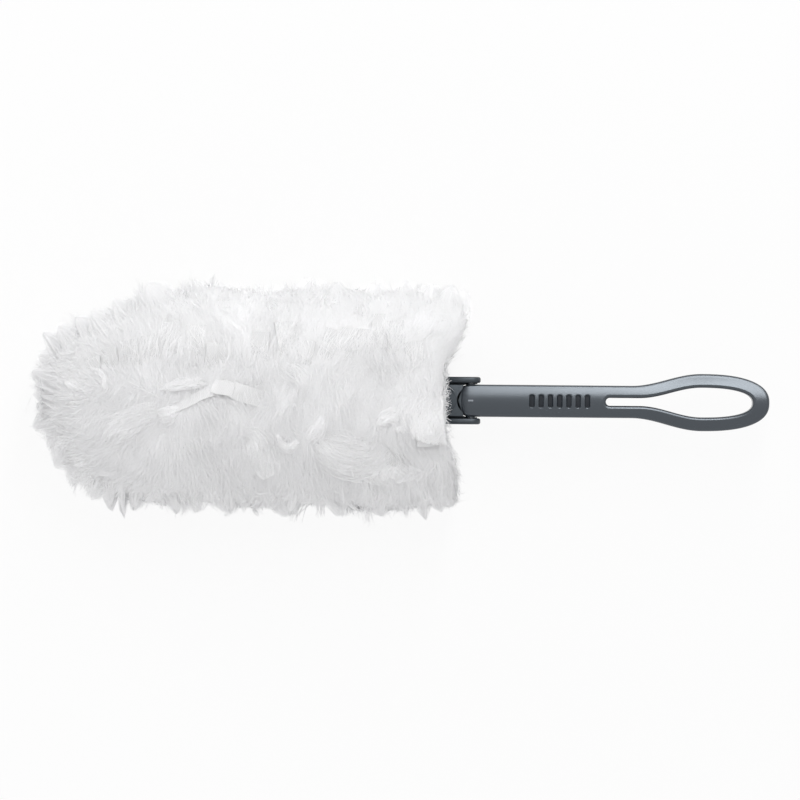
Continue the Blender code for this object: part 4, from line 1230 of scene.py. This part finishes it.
def grain_and_edge_highlight():
    """Moulded plastic: a fine spark-eroded grain, patches rubbed smoother by the hand, and paler edges, a
    painted highlight where light catches the rims.
    """
    group = effect_group("grain_and_edge_highlight")
    grain = noise_at(group, scale=1500, detail=3)
    patches = noise_at(group, scale=42, detail=4)
    edge = add_node(group, "ShaderNodeNewGeometry").outputs["Pointiness"]
    # Painted highlight: edges found by Pointiness are made paler, as if lit, in patches
    edge_highlight = spread_to(group, edge, 0, 0.5, 0.52, 0.62)
    patchy_edge_highlight = calculated(group, "MULTIPLY", edge_highlight, spread_to(group, patches, 0, 1))
    tone = calculated(group, "ADD", spread_to(group, patches, 0.94, 1.06), patchy_edge_highlight)
    rub = spread_to(group, patches, 0.035, -0.035)
    return give_back(group, tone, rub, raised(group, grain, distance=0.00002, strength=0.35))


def fibre_streaks():
    """Loose polyester fibre: neighbouring strands differ a little in brightness and sheen."""
    group = effect_group("fibre_streaks")
    strands = noise_at(group, scale=900, detail=2)
    clumps = noise_at(group, scale=95, detail=3)
    strand_tone = spread_to(group, strands, 0.975, 1.02)
    tone = calculated(group, "MULTIPLY", strand_tone, spread_to(group, clumps, 0.985, 1.01))
    sheen = spread_to(group, strands, -0.08, 0.08)
    return give_back(group, tone, sheen, raised(group, strands, distance=0.00003, strength=0.3))


def nonwoven_web():
    """Nonwoven sheet: crossing fibres pressed together, with a hatch of bonded lines."""
    group = effect_group("nonwoven_web")
    place = add_node(group, "ShaderNodeTexCoord")
    hatch = []
    for turn in (0.6, -0.5):
        turned = add_node(group, "ShaderNodeMapping", {"Rotation": (0, 0, turn)})
        values = {"Scale": WEB_SCALE, "Distortion": 3.0, "Detail": 2.0, "Detail Scale": 1.5}
        lines = add_node(group, "ShaderNodeTexWave", values)
        group.links.new(place.outputs["Object"], turned.inputs["Vector"])
        group.links.new(turned.outputs["Vector"], lines.inputs["Vector"])
        hatch.append(lines.outputs["Fac"])
    web = calculated(group, "MAXIMUM", *hatch)
    web_tone = spread_to(group, web, 0.955, 1.015, 0, 1)
    patches = noise_at(group, scale=240, detail=3)
    tone = calculated(group, "MULTIPLY", web_tone, spread_to(group, patches, 0.97, 1.02))
    rough = spread_to(group, web, 0.06, -0.06, 0, 1)
    return give_back(group, tone, rough, raised(group, web, distance=0.00006, strength=0.3))


def drawn_metal():
    """Drawn wire: scratches along the pin, so its roughness changes round it."""
    group = effect_group("drawn_metal")
    scratches = noise_at(group, scale=2600, detail=3, stretch=(1, 0.02, 1))
    tone = spread_to(group, scratches, 0.86, 1.06)
    rough = spread_to(group, scratches, -0.08, 0.12)
    return give_back(group, tone, rough, raised(group, scratches, distance=0.00001, strength=0.4))


def finish_with(name, group, base, roughness, values=None):
    """A material: one colour and roughness, varied by an effect."""
    made = bpy.data.materials.new(name)
    made.use_nodes = True
    tree = made.node_tree
    shader = tree.nodes["Principled BSDF"]
    effect = add_node(tree, "ShaderNodeGroup", node_tree=group)
    effect.inputs["Color"].default_value = (*base, 1)
    effect.inputs["Roughness"].default_value = roughness
    for given, socket in (("Color", "Base Color"), ("Roughness", "Roughness"), ("Normal", "Normal")):
        tree.links.new(effect.outputs[given], shader.inputs[socket])
    for socket, value in (values or {}).items():
        shader.inputs[socket].default_value = value
    return made


# Lines of the nonwoven's bonding, 0.9 mm apart: the wave texture has 20 radians to each unit of scale
WEB_SCALE = 2 * math.pi / (20 * 0.0009)

grain, streaks, web, drawn = grain_and_edge_highlight(), fibre_streaks(), nonwoven_web(), drawn_metal()
fibre_white = finish_with("fibre_white", streaks, (0.940, 0.940, 0.945), 0.75)
# The wisps get a paler copy of the fibres' white: painted light, as they lie more in the light than the
# fibres under them
wisp_white = finish_with("wisp_white", streaks, (0.985, 0.985, 0.990), 0.75)
sheet_white = finish_with("sheet_white", web, (0.86, 0.86, 0.865), 0.75)
# The strips' white is darkened: painted shade, as dark as the shaded fibres round them
strip_white = finish_with("strip_white", web, (0.76, 0.76, 0.765), 0.75)
# The loose strip gets a paler copy of the strips' white: painted light
loose_strip_white = finish_with("loose_strip_white", web, (0.85, 0.85, 0.855), 0.75)
blue_sheen = (0.84, 0.92, 1.0, 1.0)
glossy_plastic = {"Specular IOR Level": 0.85, "Specular Tint": blue_sheen}
handle_grey = finish_with("handle_grey", grain, (0.028, 0.033, 0.040), 0.23, glossy_plastic)
grip_inlay = finish_with("grip_inlay", grain, (0.009, 0.012, 0.017), 0.60, {"Specular IOR Level": 0.25})
# A pale grey for the dash on the nose: painted highlight
mark_grey = finish_with("mark_grey", grain, (0.30, 0.33, 0.37), 0.45)
satin_plastic = {"Specular IOR Level": 0.60, "Specular Tint": blue_sheen}
fork_charcoal = finish_with("fork_charcoal", grain, (0.022, 0.0275, 0.033), 0.42, satin_plastic)
pin_steel = finish_with("pin_steel", drawn, (0.60, 0.61, 0.62), 0.30, {"Metallic": 1.0})


def paint_loose_strip_light(mesh):
    """Give the loose strip, which lies on the fluff, a brighter white: painted light, as it lies more in
    the light than the strips round it.
    """
    centres = np.empty(len(mesh.polygons) * 3, dtype=np.float32)
    mesh.polygons.foreach_get("center", centres)
    x, y, z = centres.reshape(-1, 3).T
    shown = np.abs(x - LOOSE_STRIP_MIDDLE) < LOOSE_STRIP_HALF_LENGTH
    shown &= np.abs(y) < LOOSE_STRIP_HALF_WIDTH
    shown &= z > CORE_Z + head_height(x, y) - LOOSE_STRIP_DEPTH
    mesh.polygons.foreach_set("material_index", shown.astype(np.int32))


# Points along each combed fibre
LOCK_STATIONS = 5

# The head's faces: side, locks, fibre width, steps of the fleece along and across, fibres in an edge tuft
FACES = (
    ("front", 1, 820, 0.00023, (240, 140), 40),
    ("back", -1, 330, 0.00040, (190, 110), 28),
)


def build_head():
    pieces = []
    for face, side, count, width, fine, edge_count in FACES:
        chance = np.random.default_rng(20 + side)
        inner = mesh_object(face + "_fleece", *fleece_body(side, *fine))
        weld(inner)
        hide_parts(face + "_inner_fibres")
        points, faces = locks(chance, side, count, 50, 0.017, LOCK_STATIONS, width)
        # The front's many fibres make two meshes, so that the export keeps them all
        if side > 0:
            half = len(faces) // 2
            corners = half // (LOCK_STATIONS - 1) * LOCK_STATIONS * 2
            outer = mesh_object("front_loose_fibres", points[:corners], faces[:half])
            pieces.append(mesh_object("front_loose_fibres_low", points[corners:], faces[half:] - corners))
        else:
            outer = mesh_object("back_loose_fibres", points, faces)
        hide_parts(face + "_outer_fibres")
        tufts = edge_tufts(chance, side, 400, edge_count, length=0.0062, stations=4, width=width * 0.9)
        edge = mesh_object(face + "_edge_tufts", *tufts)
        cut = end_fibres(chance, side, 5200, length=0.010, stations=4, width=0.0003)
        ends = mesh_object(face + "_end_fibres", *cut)
        strips = mesh_object(face + "_strips", *strip_set(side))
        weld(strips)
        strips.data.materials.append(strip_white)
        strips.data.materials.append(loose_strip_white)
        # The loose strip's faces take the paler second white, with painted light
        if side > 0:
            paint_loose_strip_light(strips.data)
        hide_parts(face + "_strip_sheet")
        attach(strips, "refill")
        sheet = mesh_object(face + "_pocket_sheet", *pocket_sheet(side))
        sheet.data.materials.append(sheet_white)
        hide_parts(face + "_sheet")
        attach(sheet, "refill")
        weld(sheet)
        pieces += [outer, inner, edge, ends]
    chance = np.random.default_rng(41)
    wisps = mesh_object("front_wisps", *joined(*[laid_wisp(chance, *wisp) for wisp in FRONT_WISPS]))
    drawn_out = drawn_tufts(chance, OUTLINE_TUFTS, fibres=210, width=0.00021)
    tufts = mesh_object("front_tufts", *drawn_out)
    pieces += [wisps, tufts]
    for piece in pieces:
        # The wisps take the paler white with painted light, the rest the fibres' white
        piece.data.materials.append(wisp_white if piece == wisps else fibre_white)
        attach(piece, "refill")


build_head()
build_handle()
build_fork()


# Stage

FLOOR_SIZE = 4
FLOOR_GLOW = 0.9
WORLD_LIGHT = 0.55

# Lamps: place, target, width, height, power, seen in reflections, lighting matt surfaces
LAMPS = {
    "key": ((0.17, 0.65, 0.80), (0.03, 0.0, 0.03), 0.17, 1.10, 4.1, False, True),
    "near_sheen": ((0.08, 0.65, 0.80), (0.05, 0.0, 0.03), 0.40, 1.10, 4.1, True, False),
    "far_sheen": ((0.42, 0.65, 0.80), (0.17, 0.0, 0.03), 0.56, 1.10, 8.4, True, False),
    "low_left": ((-0.75, 1.08, 0.44), (-0.07, 0.0, 0.03), 1.2, 0.4, 4.4, False, True),
    "low_right": ((-0.60, -1.10, 0.38), (-0.07, 0.0, 0.03), 1.4, 0.4, 4.6, False, True),
}

# Camera: height over the head's middle, width of what it sees, sideways place in metres, turn in degrees
CAMERA_HEIGHT = 2.0
FRAME_WIDTH = 0.3814
SENSOR_WIDTH = 36
CAMERA_X = -0.0009
CAMERA_TURN = 0.5


def seen_directly(tree):
    """1 for camera, glossy and transmission rays, which see the plain background, and 0 for others."""
    path = tree.nodes.new("ShaderNodeLightPath")
    total = path.outputs["Is Camera Ray"]
    for kind in ("Is Glossy Ray", "Is Transmission Ray"):
        total = calculated(tree, "ADD", total, path.outputs[kind], clamped=True)
    return total


def build_stage():
    bpy.ops.mesh.primitive_plane_add(size=FLOOR_SIZE)
    floor = bpy.context.object
    floor.name = "floor"
    pale = bpy.data.materials.new("pale_floor")
    pale.use_nodes = True
    tree = pale.node_tree
    shader = tree.nodes["Principled BSDF"]
    shader.inputs["Base Color"].default_value = (0.9, 0.9, 0.9, 1)
    shader.inputs["Roughness"].default_value = 0.9
    output = next(node for node in tree.nodes if node.type == "OUTPUT_MATERIAL")
    seen = add_node(tree, "ShaderNodeMath", {1: FLOOR_GLOW}, operation="MULTIPLY")
    glow = add_node(tree, "ShaderNodeEmission", {"Color": (1, 1, 1, 1)})
    mix = add_node(tree, "ShaderNodeMixShader")
    tree.links.new(seen_directly(tree), seen.inputs[0])
    for socket, source in enumerate((seen, shader, glow)):
        tree.links.new(source.outputs[0], mix.inputs[socket])
    tree.links.new(mix.outputs[0], output.inputs[0])
    floor.data.materials.append(pale)


def add_lamp(name, place, target, wide, tall, power, mirrored, lighting):
    data = bpy.data.lights.new(name, "AREA")
    data.shape = "ELLIPSE"
    data.size = wide
    data.size_y = tall
    data.energy = power
    lamp = bpy.data.objects.new(name, data)
    lamp.location = place
    aim = np.array(target) - np.array(place)
    lamp.rotation_euler = Vector(aim).to_track_quat("-Z", "Y").to_euler()
    lamp.visible_glossy = mirrored
    lamp.visible_diffuse = lighting
    bpy.context.scene.collection.objects.link(lamp)


def build_lights():
    for name, lamp in LAMPS.items():
        add_lamp(name, *lamp)
    world = bpy.data.worlds.new("studio")
    bpy.context.scene.world = world
    world.use_nodes = True
    tree = world.node_tree
    background = tree.nodes["Background"]
    strength = add_node(tree, "ShaderNodeMapRange", {"To Min": WORLD_LIGHT, "To Max": 1.0})
    tree.links.new(seen_directly(tree), strength.inputs["Value"])
    tree.links.new(strength.outputs["Result"], background.inputs["Strength"])
    background.inputs["Color"].default_value = (1, 1, 1, 1)


def build_camera():
    data = bpy.data.cameras.new("camera")
    data.type = "PERSP"
    data.sensor_width = SENSOR_WIDTH
    data.lens = SENSOR_WIDTH * CAMERA_HEIGHT / FRAME_WIDTH
    camera = bpy.data.objects.new("camera", data)
    camera.location = (CAMERA_X, 0.0, CORE_Z + CAMERA_HEIGHT)
    camera.rotation_euler = (0, 0, math.radians(CAMERA_TURN))
    bpy.context.scene.collection.objects.link(camera)
    bpy.context.scene.camera = camera


build_stage()
build_lights()
build_camera()
bpy.context.scene.view_settings.view_transform = "Standard"

# White fluff is lit mostly from fibre to fibre, which takes more bounces than the usual four
bpy.context.scene.cycles.diffuse_bounces = 12
